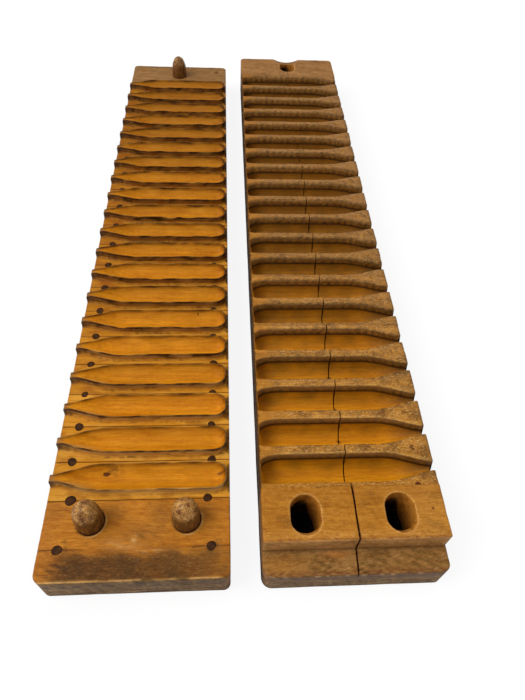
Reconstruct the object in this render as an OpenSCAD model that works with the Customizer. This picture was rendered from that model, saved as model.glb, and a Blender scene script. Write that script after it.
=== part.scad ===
// Wooden cigar mould for twenty cigars, lying open.
// The upper half lies face up on the left and the lower half on the right, with the near end at -Y.
// Turned over about the line between the halves, the upper half's lips enter the lower half's pockets.
// Across each half, s runs from the outer edge, where the cigars' tips point, to the inner edge.

/* [Boards] */
// Width of each half, along the cigars
board_w = 102; // [94:1:140]
// Gap between the two halves as they lie open
open_gap = 17; // [14:1:40]
// Thickness of each backing board
base_t = 14; // [12:0.5:25]
// Radius of the upright corners at the ends of each half
corner_r = 4; // [1:0.5:8]
// Width of the bevel along the bottom edges of each backing board
bottom_bevel = 1.5; // [0.5:0.5:4]

/* [Slats] */
// Number of cigars
cigar_n = 20; // [6:1:23]
// Width of one slat, which is the spacing of the cigars
slat_p = 23.8; // [23:0.2:32]
// Thickness of the lower slats and end blocks
lower_slat_t = 22; // [20:0.5:30]
// Thickness of the upper slats and end blocks
upper_slat_t = 11; // [9:0.5:20]
// Width of the open joint line between neighbouring slats
joint_gap = 0.15; // [0.05:0.05:0.4]

/* [End blocks] */
// Length from the near end to the first slat
near_l = 44; // [39:1:60]
// Length from the last slat to the far end
far_l = 39; // [33:1:60]
// Length of the narrow slat at the near end of the upper half
near_end_slat_l = 16.8; // [10:0.2:20]
// Length of the finger ledge at the near end of the lower half
ledge_l = 14; // [6:0.5:16]
// Depth of the finger ledge below the lower half's face
ledge_d = 13.5; // [6:0.5:17]
// Depth of the worn dish at the far end of the lower half
dish_d = 3.6; // [1:0.2:6]
// Radius of the worn dish
dish_r = 30; // [15:1:60]

/* [Cigar shape] */
// Radius of the lower half's scoops
scoop_r = 8.2; // [7.9:0.1:8.5]
// Radius of the upper half's cups
cup_r = 7.6; // [7:0.1:7.8]
// Radius of a cup at the cigar's tip
cup_tip_r = 1.5; // [1:0.1:3]
// Thickness of the upper half's lips
lip_t = 0.7; // [0.5:0.1:1]
// Height of the lips above the upper slats
lip_h = 5.6; // [4:0.1:6.5]
// Length of the straight tip
tip_l = 1.5; // [0.5:0.5:8]
// Length over which the head widens from the tip
head_l = 29; // [15:1:40]
// Fullness of the head, where a larger value gives a more slender head
head_power = 1.45; // [1:0.05:2]
// Length of the rounded foot
foot_l = 10; // [4:0.5:14]
// Roundness of the foot, where 1 is an ellipse and a smaller value is squarer
foot_power = 0.75; // [0.6:0.05:1]
// Distance from the inner edge to the foot of the lips
foot_inset = 2.8; // [2.6:0.1:6]

/* [Fits] */
// Clearance between the sides of the lips and the pocket
lip_gap = 0.7; // [0.3:0.1:0.9]
// Clearance between the foot of the lips and the end of the pocket
foot_gap = 1.6; // [1.5:0.1:1.8]
// Pocket depth left beyond the lips
pocket_spare = 0.4; // [0.2:0.1:1]
// Gap between the two faces when the mould is shut
shut_gap = 0.4; // [0.2:0.1:1]
// Clearance on each side of a near guide pin in its slot
slot_side_gap = 1.1; // [1:0.1:2]
// Clearance on each side of the far guide pin in its slot
far_side_gap = 0.5; // [0.4:0.1:2]
// Clearance between a guide pin and the inner end of its slot
slot_end_gap = 0.3; // [0.2:0.1:1]
// Clearance around pegs and guide pins in their drilled seats
seat_gap = 0.05; // [0.02:0.01:0.1]

/* [Guide pins] */
// Diameter of the guide pins
pin_d = 15; // [12:0.5:17]
// Height of the guide pins above the upper half's face
pin_h = 20.5; // [15:0.5:22]
// Height of the domed end of a guide pin
dome_h = 9; // [6:0.5:12]
// Depth of the guide pins in the backing board
pin_seat_d = 6; // [3:0.5:9]
// Distance from the outer edge to the outer near pin
outer_pin_s = 25.5; // [22:0.5:32]
// Distance from the inner edge to the inner near pin
inner_pin_s = 24; // [22:0.5:32]
// Distance from the far guide pin to the joint line behind it
far_pin_wall = 1.1; // [0.5:0.1:4]

/* [Slots] */
// Wood between the near slots and the finger ledge
ledge_wall = 3.3; // [1.5:0.1:5]
// Wood between the near slots and the first slat
near_slot_wall = 4.2; // [2:0.1:5]
// Wood between the last slat and the far slot
far_slot_wall = 10.2; // [6:0.1:12]
// Wood between the far slot and the far end
far_end_wall = 6.3; // [4:0.1:9]
// Depth of the slots below the lower half's face
slot_d = 30; // [28:0.5:31]
// Number of drilled holes that make up one slot
slot_hole_n = 4; // [3:1:8]

/* [Pegs] */
// Diameter of the upper half's pegs
upper_peg_d = 5.2; // [3:0.2:6]
// Diameter of the lower half's pegs
lower_peg_d = 4.2; // [2:0.2:4.6]
// Distance from each edge to the pegs
peg_s = 10.5; // [8:0.5:13]
// Distance from each edge to the pegs at the near blocks
block_peg_s = 12.5; // [8:0.5:13]
// Depth of the pegs in the backing board
peg_seat_d = 8; // [4:0.5:10]
// Depth of the peg ends below the face
peg_sink = 0.3; // [0.1:0.1:1]

/* [Saw cut] */
// Width of the saw cut along the lower half
kerf_w = 0.9; // [0.5:0.1:2]
// Depth of the saw cut below the lower half's face
kerf_d = 17; // [14.5:0.5:19]

/* [Hidden] */
slats = [1 : cigar_n];
function two_digits(i) = str(i < 10 ? "0" : "", i);
function lower_name(i) = str("lower_slat_", two_digits(i));
function upper_name(i) = str("upper_slat_", two_digits(i));

$fn = 48;
cut = 1; // how far a cutting solid runs past the face it cuts
corner_steps = 8;
head_steps = 9;
foot_steps = 6;

board_l = near_l + cigar_n * slat_p + far_l;
near_y = -board_l / 2;
far_y = board_l / 2;
first_slat_y = near_y + near_l;
outer_x = open_gap / 2 + board_w;
lower_top = base_t + lower_slat_t;
upper_top = base_t + upper_slat_t;

pocket_d = lip_h + pocket_spare;
meet_gap = (pocket_spare + shut_gap) / 2; // from the lips' edge to the cigar's axis
scoop_axis_z = lower_top - pocket_d + meet_gap;
cup_axis_z = upper_top + lip_h + meet_gap;
scoop_tip_r = cup_tip_r + scoop_r - cup_r;
lip_end_s = board_w - foot_inset;
cup_end_s = lip_end_s - lip_t;
scoop_end_s = cup_end_s + scoop_r - cup_r;
pocket_end_s = lip_end_s + foot_gap;

pin_r = pin_d / 2;
near_slot_ys = [near_y + ledge_l + ledge_wall, near_y + near_l - near_slot_wall];
far_slot_ys = [far_y - far_l + far_slot_wall, far_y - far_end_wall];
near_pin_y = near_slot_ys[1] - slot_end_gap - pin_r;
far_pin_y = far_slot_ys[0] + slot_end_gap + pin_r;
near_pin_places = [outer_pin_s, board_w - inner_pin_s];
mid_s = board_w / 2;
near_slot_r = pin_r + slot_side_gap;
far_slot_r = pin_r + far_side_gap;
end_joint_ys = [near_y + near_end_slat_l, far_pin_y + pin_r + far_pin_wall];

// Y of the joint line after slat i, where joint 0 is the end of the near block
function joint_y(i) = first_slat_y + i * slat_p;
function slat_mid_y(i) = joint_y(i - 0.5);

// How far the head has widened at s, from 0 at the tip to 1 at full width
function head_share(s) = pow(sin(90 * min(1, max(0, (s - tip_l) / head_l))), head_power);
function head_r(s, r, tip_r) = tip_r + (r - tip_r) * head_share(s);

// Radius against s from the tip to the foot, as points [s, radius], all made wider by extra
function cigar_side(r, tip_r, end_s, extra) = concat(
    [[-cut, tip_r + extra]],
    [for (k = [0 : head_steps])
        let (s = tip_l + head_l * k / head_steps) [s, head_r(s, r, tip_r) + extra]],
    [for (k = [0 : foot_steps])
        let (a = 90 * k / foot_steps, along = foot_l * pow(sin(a), foot_power))
            [end_s - foot_l + along, (r + extra) * pow(cos(a), foot_power)]]);

module in_lower_half() {
    translate([outer_x, 0, 0]) mirror([1, 0, 0]) children();
}

module in_upper_half() {
    translate([-outer_x, 0, 0]) children();
}

// Plan of one half, with rounded corners
module board_plan() {
    corners = [[board_w - corner_r, far_y - corner_r, 0], [corner_r, far_y - corner_r, 90],
               [corner_r, near_y + corner_r, 180], [board_w - corner_r, near_y + corner_r, 270]];
    polygon([for (c = corners, k = [0 : corner_steps])
        let (a = c[2] + 90 * k / corner_steps) [c[0] + corner_r * cos(a), c[1] + corner_r * sin(a)]]);
}

// Part of the board's plan between two Y values, from z0 up by height t
module board_piece(y0, y1, z0, t) {
    intersection() {
        translate([0, 0, z0]) linear_extrude(t) board_plan();
        translate([-cut, y0, z0 - cut]) cube([board_w + 2 * cut, y1 - y0, t + 2 * cut]);
    }
}

// Plan of a cigar, from past the outer edge to the foot
module cigar_plan(r, tip_r, end_s, extra) {
    side = cigar_side(r, tip_r, end_s, extra);
    last = len(side) - 1;
    polygon(concat(side, [for (k = [last - 1 : -1 : 0]) [side[k][0], -side[k][1]]]));
}

// Solid of revolution with the cigar's shape, its axis along s
module cigar_solid(r, tip_r, end_s) {
    side = cigar_side(r, tip_r, end_s, 0);
    rotate([0, 90, 0]) rotate_extrude()
        polygon(concat([[0, -cut]], [for (p = side) [p[1], p[0]]]));
}

// Straight saw cut along the lower half
module kerf() {
    translate([mid_s - kerf_w / 2, near_y - cut, lower_top - kerf_d])
        cube([kerf_w, board_l + 2 * cut, kerf_d + cut]);
}

// Slot drilled as a row of overlapping holes between two Y values
module drilled_slot(s, ys, r) {
    step = (ys[1] - ys[0] - 2 * r) / (slot_hole_n - 1);
    for (k = [0 : slot_hole_n - 1])
        translate([s, ys[0] + r + k * step, lower_top - slot_d]) cylinder(h = slot_d + cut, r = r);
}

module lower_slots() {
    for (s = near_pin_places) drilled_slot(s, near_slot_ys, near_slot_r);
    drilled_slot(mid_s, far_slot_ys, far_slot_r);
}

// Seats for the pegs along the joint lines from joint i to joint j
module peg_seats(i, j, d, top) {
    for (k = [i : j]) peg_pair(k, d + 2 * seat_gap, top + cut);
}

// Two upright rounds on joint line k, one near each edge, that stand in the backing board
module peg_pair(k, d, top) {
    inset = k == 0 ? block_peg_s : peg_s;
    for (s = [inset, board_w - inset])
        translate([s, joint_y(k), base_t - peg_seat_d]) cylinder(h = top - base_t + peg_seat_d, d = d);
}

// Backing board with its bottom edges bevelled
module base_board() {
    w = bottom_bevel * sqrt(2);
    difference() {
        board_piece(near_y - cut, far_y + cut, 0, base_t);
        for (s = [0, board_w]) translate([s, 0, 0]) rotate([0, 45, 0])
            cube([w, board_l + 2 * cut, w], center = true);
        for (y = [near_y, far_y]) translate([board_w / 2, y, 0]) rotate([45, 0, 0])
            cube([board_w + 2 * cut, w, w], center = true);
    }
}

module lower_base_board() {
    color("sienna") in_lower_half() difference() {
        base_board();
        lower_slots();
        peg_seats(0, cigar_n, lower_peg_d, lower_top);
    }
}

module lower_near_block() {
    color("peru") in_lower_half() difference() {
        board_piece(near_y - cut, joint_y(0) - joint_gap / 2, base_t, lower_slat_t);
        translate([-cut, near_y - cut, lower_top - ledge_d])
            cube([board_w + 2 * cut, ledge_l + cut, ledge_d + cut]);
        lower_slots();
        kerf();
        peg_seats(0, 0, lower_peg_d, lower_top);
    }
}

module lower_far_block() {
    color("peru") in_lower_half() difference() {
        board_piece(joint_y(cigar_n) + joint_gap / 2, far_y + cut, base_t, lower_slat_t);
        lower_slots();
        kerf();
        translate([mid_s, far_y, lower_top + dish_r - dish_d]) sphere(dish_r);
        peg_seats(cigar_n, cigar_n, lower_peg_d, lower_top);
    }
}

module lower_slat(i) {
    color("goldenrod") in_lower_half() difference() {
        board_piece(joint_y(i - 1) + joint_gap / 2, joint_y(i) - joint_gap / 2, base_t, lower_slat_t);
        translate([0, slat_mid_y(i), lower_top - pocket_d]) linear_extrude(pocket_d + cut)
            cigar_plan(cup_r, cup_tip_r, pocket_end_s, lip_t + lip_gap);
        translate([0, slat_mid_y(i), scoop_axis_z]) cigar_solid(scoop_r, scoop_tip_r, scoop_end_s);
        kerf();
        peg_seats(i - 1, i, lower_peg_d, lower_top);
    }
}

module lower_pegs() {
    color("saddlebrown") in_lower_half()
        for (k = [0 : cigar_n]) peg_pair(k, lower_peg_d, lower_top - peg_sink);
}

// Seats of the guide pins in the upper half
module pin_seats() {
    seat_z = base_t - pin_seat_d;
    for (s = near_pin_places) translate([s, near_pin_y, seat_z])
        cylinder(h = upper_top + cut - seat_z, r = pin_r + seat_gap);
    translate([mid_s, far_pin_y, seat_z]) cylinder(h = upper_top + cut - seat_z, r = pin_r + seat_gap);
}

module upper_base_board() {
    color("sienna") in_upper_half() difference() {
        base_board();
        pin_seats();
        end_peg_seats();
        peg_seats(0, cigar_n, upper_peg_d, upper_top);
    }
}

// Upright rounds on the joint lines of the upper half's two end slats, one near each edge
module end_pegs(d, top) {
    for (s = [peg_s, board_w - peg_s], y = end_joint_ys)
        translate([s, y, base_t - peg_seat_d]) cylinder(h = top - base_t + peg_seat_d, d = d);
}

module end_peg_seats() {
    end_pegs(upper_peg_d + 2 * seat_gap, upper_top + cut);
}

module upper_near_end_slat() {
    color("peru") in_upper_half() difference() {
        board_piece(near_y - cut, end_joint_ys[0] - joint_gap / 2, base_t, upper_slat_t);
        end_peg_seats();
    }
}

module upper_far_end_slat() {
    color("peru") in_upper_half() difference() {
        board_piece(end_joint_ys[1] + joint_gap / 2, far_y + cut, base_t, upper_slat_t);
        pin_seats();
        end_peg_seats();
    }
}

module upper_pin_block() {
    color("peru") in_upper_half() difference() {
        board_piece(end_joint_ys[0] + joint_gap / 2, joint_y(0) - joint_gap / 2, base_t, upper_slat_t);
        pin_seats();
        end_peg_seats();
        peg_seats(0, 0, upper_peg_d, upper_top);
    }
}

module upper_far_block() {
    color("peru") in_upper_half() difference() {
        board_piece(joint_y(cigar_n) + joint_gap / 2, end_joint_ys[1] - joint_gap / 2, base_t, upper_slat_t);
        pin_seats();
        end_peg_seats();
        peg_seats(cigar_n, cigar_n, upper_peg_d, upper_top);
    }
}

module upper_slat(i) {
    y0 = joint_y(i - 1) + joint_gap / 2;
    y1 = joint_y(i) - joint_gap / 2;
    color("goldenrod") in_upper_half() difference() {
        union() {
            board_piece(y0, y1, base_t, upper_slat_t);
            intersection() {
                translate([0, slat_mid_y(i), base_t]) linear_extrude(upper_slat_t + lip_h)
                    cigar_plan(cup_r, cup_tip_r, lip_end_s, lip_t);
                translate([0, y0, base_t]) cube([board_w, y1 - y0, upper_slat_t + lip_h]);
            }
        }
        translate([0, slat_mid_y(i), cup_axis_z]) cigar_solid(cup_r, cup_tip_r, cup_end_s);
        peg_seats(i - 1, i, upper_peg_d, upper_top);
    }
}

module upper_pegs() {
    color("saddlebrown") in_upper_half() {
        end_pegs(upper_peg_d, upper_top - peg_sink);
        for (k = [0 : cigar_n]) peg_pair(k, upper_peg_d, upper_top - peg_sink);
    }
}

// Turned pin with a domed end, standing at [s, y]
module guide_pin(s, y) {
    seat_z = base_t - pin_seat_d;
    shoulder_z = upper_top + pin_h - dome_h;
    dome_steps = 8;
    color("peru") in_upper_half() translate([s, y, 0]) rotate_extrude()
        polygon(concat([[0, seat_z], [pin_r, seat_z]],
            [for (k = [0 : dome_steps])
                let (a = 90 * k / dome_steps) [pin_r * cos(a), shoulder_z + dome_h * sin(a)]]));
}

lower_base_board();
lower_near_block();
lower_far_block();
lower_pegs();
for (i = slats) lower_slat(i);
upper_base_board();
upper_near_end_slat();
upper_pin_block();
upper_far_block();
upper_far_end_slat();
upper_pegs();
guide_pin(near_pin_places[0], near_pin_y);  // guide_pin_near_left
guide_pin(near_pin_places[1], near_pin_y);  // guide_pin_near_right
guide_pin(mid_s, far_pin_y);  // guide_pin_far
for (i = slats) upper_slat(i);
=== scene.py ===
import math
from functools import partial
from types import SimpleNamespace

import bmesh
import bpy
import numpy as np
from mathutils import Matrix


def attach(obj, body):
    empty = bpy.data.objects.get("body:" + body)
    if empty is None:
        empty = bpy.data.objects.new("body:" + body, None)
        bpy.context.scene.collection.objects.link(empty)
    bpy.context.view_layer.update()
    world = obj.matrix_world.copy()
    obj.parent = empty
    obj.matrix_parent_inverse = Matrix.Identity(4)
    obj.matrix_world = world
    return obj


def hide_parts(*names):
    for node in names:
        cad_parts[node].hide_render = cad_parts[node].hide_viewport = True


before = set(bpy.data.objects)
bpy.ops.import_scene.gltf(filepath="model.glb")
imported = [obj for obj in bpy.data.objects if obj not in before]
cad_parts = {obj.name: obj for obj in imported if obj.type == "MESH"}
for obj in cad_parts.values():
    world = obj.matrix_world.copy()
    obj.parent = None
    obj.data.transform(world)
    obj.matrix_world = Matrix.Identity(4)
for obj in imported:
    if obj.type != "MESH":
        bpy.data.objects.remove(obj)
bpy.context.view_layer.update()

# The mould lies open. Shapes are worked out in millimetres and go into the meshes in metres.
# s runs across each half from the cigars' tips to the middle, y to the far end, z up.
halves = {
    "width": 102.0,
    "outerEdge": 110.5,
    "nearEnd": -279.5,
    "farEnd": 279.5,
    "boardTop": 14.0,
    "upperTop": 25.0,
    "lowerTop": 36.0,
    "cigars": 20,
    "pitch": 23.8,
    "firstJoint": -235.5,
    "lastJoint": 240.5,
    "endJoints": (-262.7, 267.1),
}
upperSide, lowerSide = -1, 1
bodies = {upperSide: "upper_half", lowerSide: "lower_half"}


def softStep(x, low, high):
    # smooth rise from 0 at low to 1 at high: 3t^2 - 2t^3
    t = np.clip((x - low) / (high - low), 0, 1)
    return t * t * (3 - 2 * t)


def hump(x, middle, reach):
    # bell of height 1: exp(-((x - middle) / reach)^2)
    return np.exp(-(((x - middle) / reach) ** 2))


def patch(s, y, place, reach):
    # soft oval spot of height 1 in plan
    return np.exp(-(((s - place[0]) / reach[0]) ** 2) - ((y - place[1]) / reach[1]) ** 2)


def waves(points, size, seed, octaves=3):
    # uneven swell of about plus or minus 1: sines along random directions, each octave half the size and height
    rng = np.random.default_rng(seed)
    scaled = points / np.asarray(size, float)
    total = np.zeros(points.shape[:-1])
    for octave in range(octaves):
        ways = rng.normal(size=(3, 7))
        ways *= rng.uniform(0.7, 1.4, 7) / np.linalg.norm(ways, axis=0)
        starts = rng.uniform(0, 2 * np.pi, 7)
        total += np.sin(2 * np.pi * 2**octave * (scaled @ ways) + starts).sum(-1) / 2**octave
    return total / 3.7


def swells(points, firstSeed, *sizes):
    # several patterns of waves, whose seeds count up from the first
    return [waves(points, size, firstSeed + index) for index, size in enumerate(sizes)]


def inPlan(s, y):
    # points at height 0
    s, y = np.broadcast_arrays(s, y)
    return np.stack([s, y, np.zeros(s.shape)], -1)


def layer(rail, z):
    # points of a rail in plan at a height, which may differ along it
    return np.column_stack([rail, np.broadcast_to(z, len(rail))])


def slatShare(y, reach):
    # 1 on the slats, falling to 0 at both end blocks over a reach
    first, last = halves["firstJoint"], halves["lastJoint"]
    return softStep(y, first, first + reach) * softStep(-y, -last, reach - last)


def acrossSlat(y):
    # distance from the middle of the slat, and whether there is one
    first, last, pitch = halves["firstJoint"], halves["lastJoint"], halves["pitch"]
    return (y - first) % pitch - pitch / 2, (y > first) & (y < last)


# meshes from grids


def gridQuads(rows, columns):
    # four corners of each cell of a grid of points
    index = np.arange(rows * columns).reshape(rows, columns)
    return np.stack([index[:-1, :-1], index[1:, :-1], index[1:, 1:], index[:-1, 1:]], -1).reshape(-1, 4)


def addObject(name, patches, side):
    # one closed shell from grids of s, y and z: x = side * (outer edge - s), seams merged, faces turned outwards
    corners, quads, count = [], [], 0
    for grid in patches:
        corners.append(grid.reshape(-1, 3).copy())
        corners[-1][:, 0] = side * (halves["outerEdge"] - corners[-1][:, 0])
        quads.append(gridQuads(*grid.shape[:2]) + count)
        count += corners[-1].shape[0]
    mesh = bpy.data.meshes.new(name)
    mesh.from_pydata(np.concatenate(corners) * 0.001, [], np.concatenate(quads))
    shell = bmesh.new()
    shell.from_mesh(mesh)
    bmesh.ops.remove_doubles(shell, verts=shell.verts, dist=1e-6)
    bmesh.ops.recalc_face_normals(shell, faces=shell.faces)
    shell.to_mesh(mesh)
    shell.free()
    made = bpy.data.objects.new(name, mesh)
    bpy.context.scene.collection.objects.link(made)
    return made


def carve(piece, patches, side, way="DIFFERENCE"):
    # cuts a shape out of the piece, or joins it on, and keeps the result as the piece's mesh
    tool = addObject("tool", patches, side)
    change = piece.modifiers.new("carve", "BOOLEAN")
    change.operation, change.solver, change.object = way, "EXACT", tool
    shaped = piece.evaluated_get(bpy.context.evaluated_depsgraph_get())
    mesh = bpy.data.meshes.new_from_object(shaped)
    piece.modifiers.clear()
    piece.data = mesh
    bpy.data.objects.remove(tool)


def finishPiece(piece, material, node, dress, side, sharp=38):
    # smooth shading, the colour and wear at each point, the finish, the body it rides on and the node it stands for
    mesh = piece.data
    mesh.shade_smooth()
    mesh.set_sharp_from_angle(angle=math.radians(sharp))
    places, normals = np.empty(len(mesh.vertices) * 3), np.empty(len(mesh.vertices) * 3)
    mesh.vertices.foreach_get("co", places)
    mesh.vertex_normals.foreach_get("vector", normals)
    places, normals = places.reshape(-1, 3) * 1000, normals.reshape(-1, 3)
    marks = {"grime": 0.0, "speckle": 0.0, "scuff": 0.0, "ends": 0.0}
    marks.update(dress(halves["outerEdge"] - side * places[:, 0], places, normals))
    coat = layer(np.clip(marks.pop("coat"), 0.001, 1), 1.0)
    mesh.attributes.new("coat", "FLOAT_COLOR", "POINT").data.foreach_set("color", coat.astype(np.float32).ravel())
    for key, value in marks.items():
        value = np.clip(np.broadcast_to(value, len(places)), 0, 1).astype(np.float32)
        mesh.attributes.new(key, "FLOAT", "POINT").data.foreach_set("value", value)
    mesh.materials.clear()
    mesh.materials.append(material)
    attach(piece, bodies[side])
    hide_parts(node)


# colours


def linear(colour):
    # linear colour from the 0 to 255 values of a display; colours worked out for each point stay as they are
    if not isinstance(colour, tuple):
        return colour
    c = np.array(colour) / 255
    return np.where(c <= 0.04045, c / 12.92, ((c + 0.055) / 1.055) ** 2.4)


def paint(*colour):
    # a node's colour: linear red, green and blue, then 1 for its opacity
    return (*map(float, linear(colour)), 1.0)


def blend(first, second, share):
    # colours at points: the second over the first by a share from 0 to 1
    share = np.atleast_1d(np.clip(share, 0, 1))[:, None]
    return linear(first) * (1 - share) + linear(second) * share


def layered(coat, *layers):
    # colours laid one over the other, each by its own share at every point
    for colour, share in layers:
        coat = blend(coat, colour, share)
    return coat


# wood


def addNode(tree, kind, inputs=None, **settings):
    # one node with its settings; each input is linked to a socket or set to a value
    made = tree.nodes.new(kind)
    for key, value in settings.items():
        setattr(made, key, value)
    for key, value in (inputs or {}).items():
        if isinstance(value, bpy.types.NodeSocket):
            tree.links.new(value, made.inputs[key])
        else:
            made.inputs[key].default_value = value
    return made


def clearTree(owner):
    # an empty node tree for a material or a world
    owner.use_nodes = True
    owner.node_tree.nodes.clear()
    return owner.node_tree


def blendColours(tree, factor, first, second, way="MIX"):
    # first * (1 - factor) + second * factor, where a product takes first * second for the second
    made = addNode(tree, "ShaderNodeMix", {0: factor, 6: first, 7: second}, data_type="RGBA", blend_type=way)
    return made.outputs[2]


def sums(tree, way, first, second, clamp=False):
    # first plus, minus or times second, kept between 0 and 1 if clamped
    return addNode(tree, "ShaderNodeMath", {0: first, 1: second}, operation=way, use_clamp=clamp).outputs[0]


def rise(tree, value, low, high, top=1.0):
    # smooth rise of a value from 0 at low to top at high
    settings = {0: value, 1: low, 2: high, 3: 0.0, 4: top}
    return addNode(tree, "ShaderNodeMapRange", settings, interpolation_type="SMOOTHSTEP").outputs[0]


def clouds(tree, coords, stretch, detail=3.0, roughness=0.55, twist=0.0, shift=0.0, turn=0.0):
    # uneven pattern whose size along each axis is in millimetres, turned about the upright by an angle
    if turn:
        settings = {"Vector": coords, "Rotation": (0, 0, math.radians(turn))}
        coords = addNode(tree, "ShaderNodeMapping", settings).outputs[0]
    moved = addNode(tree, "ShaderNodeMapping", {
        "Vector": coords, "Location": (shift, shift * 0.7, shift * 0.3), "Scale": [1000.0 / v for v in stretch]})
    settings = {"Vector": moved.outputs[0], "Scale": 1.0, "Detail": detail, "Roughness": roughness, "Distortion": twist}
    return addNode(tree, "ShaderNodeTexNoise", settings).outputs[0]


def attribute(tree, name, output="Fac"):
    # what finishPiece has laid on the points: the coat's colour or a mark's share
    return addNode(tree, "ShaderNodeAttribute", attribute_name=name).outputs[output]


def makeWood(name, look):
    # old wood: the colour laid on each point, varied by mottling, grain streaks, fibres and pores, then specks and dirt
    material = bpy.data.materials.new(name)
    tree = clearTree(material)
    coords = addNode(tree, "ShaderNodeTexCoord").outputs["Object"]

    def grained(length, width, *settings):
        # pattern drawn out along the grain
        return clouds(tree, coords, [length if axis == look["grainAxis"] else width for axis in "xyz"], *settings)

    times, plus, minus = (partial(sums, tree, way) for way in ("MULTIPLY", "ADD", "SUBTRACT"))
    mixed, rising = partial(blendColours, tree), partial(rise, tree)
    mottle = grained(40, 12, 3.0, 0.5, 0.3, 1.0)
    streaks = grained(look["streakLength"], look["streakWidth"], 4.0, 0.6, 0.25, 3.0)
    fibres = grained(look["fibreLength"], 0.75, 4.0, 0.65, 0.1, 5.0)
    pores = grained(2.6, 0.3, 2.0, 0.5, 0.0, 7.0)
    specks = grained(1.5, 0.7, 3.0, 0.6, 0.0, 9.0)
    flecks = grained(1.7, 0.6, 3.0, 0.6, 0.0, 10.0)
    dirt = grained(5, 3.5, 5.0, 0.68, 0.4, 11.0)
    scratches = clouds(tree, coords, (7, 1.0, 4), 4.0, 0.65, 0.4, 15.0, -20)
    speckle, scuffed = attribute(tree, "speckle"), attribute(tree, "scuff")

    colour = attribute(tree, "coat", "Color")
    for pattern, low, high, depth, shade in (  # where a pattern starts to show, where in full, how strongly, its shade
            (mottle, 0.42, 0.66, "mottleDepth", "deeper"), (mottle, 0.5, 0.3, "mottleDepth", "lighter"),
            (streaks, 0.45, 0.7, "streakDepth", "deeper"), (streaks, 0.46, 0.3, "streakDepth", "lighter"),
            (fibres, 0.47, 0.66, "fibreDepth", "deeper"), (fibres, 0.48, 0.34, "fibreDepth", "lighter")):
        colour = mixed(rising(pattern, low, high, look[depth]), colour, look[shade], "MULTIPLY")
    colour = mixed(rising(pores, 0.6, 0.7, look["poreDepth"]), colour, look["pore"])
    for pattern, low, high, depth, where, shade, way in (  # specks where it is speckled, scratches where it is scuffed
            (specks, 0.5, 0.6, look["speckDepth"], speckle, "pore", "MIX"),
            (flecks, 0.53, 0.66, look["fleckDepth"], speckle, "bare", "MIX"),
            (scratches, 0.5, 0.66, 0.8, scuffed, "deeper", "MULTIPLY"),
            (scratches, 0.44, 0.3, 0.3, scuffed, "bare", "MIX")):
        colour = mixed(times(rising(pattern, low, high, depth), where), colour, look[shade], way)
    grime = attribute(tree, "grime")
    broken = plus(grime, times(minus(dirt, 0.5), look["dirtBreak"]))
    grime = times(rising(broken, 0.08, 0.95), rising(grime, 0.0, 0.12), True)
    colour = mixed(grime, colour, look["grime"])

    for x, y, reachX, reachY, strength in look.get("marks", ()):
        # one small dark mark at a place in plan, its size given along each axis
        away, centre, scale = coords, (x * 0.001, y * 0.001, 0.0), (1000 / reachX, 1000 / reachY, 0.0)
        for way, change in (("SUBTRACT", centre), ("MULTIPLY", scale)):
            away = addNode(tree, "ShaderNodeVectorMath", {0: away, 1: change}, operation=way).outputs[0]
        away = addNode(tree, "ShaderNodeVectorMath", {0: away}, operation="LENGTH").outputs[1]
        away = plus(away, times(minus(specks, 0.5), 0.9))
        colour = mixed(rising(away, 1.2, 0.75, strength), colour, look["pore"])

    if "endDots" in look:
        # cut ends of the long grain: close dark dots
        dots = clouds(tree, coords, (1.1, 1.1, 1.1), 3.0, 0.7, 0.0, 13.0)
        ends = mixed(rising(dots, 0.45, 0.7, look["endDots"]), colour, look["pore"])
        colour = mixed(attribute(tree, "ends"), colour, ends)

    rough = plus(look["rough"], times(grime, look["grimeRough"]))
    rough = plus(rough, times(minus(streaks, 0.5), 0.3), True)
    height = plus(times(streaks, 0.5), times(fibres, 0.5))
    height = minus(height, rising(pores, 0.6, 0.75, 0.8))
    height = minus(height, times(specks, times(speckle, 1.5)))
    height = plus(height, times(dirt, plus(0.2, grime)))
    bump = addNode(tree, "ShaderNodeBump", {"Strength": look["bump"], "Distance": 0.0004, "Height": height})
    shader = addNode(tree, "ShaderNodeBsdfPrincipled", {
        "Base Color": colour, "Roughness": rough, "Normal": bump.outputs[0], "Specular IOR Level": look["specular"]})
    addNode(tree, "ShaderNodeOutputMaterial", {0: shader.outputs[0]})
    return material


slatLook = {
    "grainAxis": "x", "streakLength": 55, "streakWidth": 1.5, "fibreLength": 9,
    "mottleDepth": 0.25, "streakDepth": 0.4, "fibreDepth": 0.5, "poreDepth": 0.35,
    "speckDepth": 0.95, "fleckDepth": 0.6,
    "deeper": (0.72, 0.62, 0.42, 1), "lighter": (1.13, 1.14, 1.12, 1),
    "pore": paint(84, 44, 8), "bare": paint(226, 180, 112), "grime": paint(70, 48, 24),
    "dirtBreak": 1.0, "rough": 0.5, "grimeRough": 0.2, "bump": 0.3, "specular": 0.08,
}
upperWood = makeWood("honeyMapleUpper", {
    **slatLook,
    "marks": [(-79.6, -219.6, 2.1, 1.1, 1.0), (-49.2, -191.1, 0.8, 0.7, 0.9), (-73.7, -166.6, 0.8, 0.7, 0.8),
              (-13.5, -220.6, 2.6, 0.9, 0.7), (-59.2, 8.6, 2.2, 0.7, 0.8), (-30.0, -98.0, 0.7, 0.6, 0.7)],
})
lowerWood = makeWood("honeyMapleLower", {
    **slatLook, "streakDepth": 0.45, "pore": paint(74, 44, 16), "speckDepth": 0.6, "fleckDepth": 0.5,
})
blockWood = makeWood("stainedBlock", {
    **slatLook, "streakLength": 30, "streakWidth": 1.1, "fibreLength": 6,
    "mottleDepth": 0.3, "streakDepth": 0.5, "fibreDepth": 0.65, "poreDepth": 0.55, "speckDepth": 0.4, "fleckDepth": 0.4,
    "marks": [(-47.9, -274.4, 0.8, 0.7, 0.9), (103.2, -249.4, 0.9, 1.0, 0.7)],
})
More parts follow.
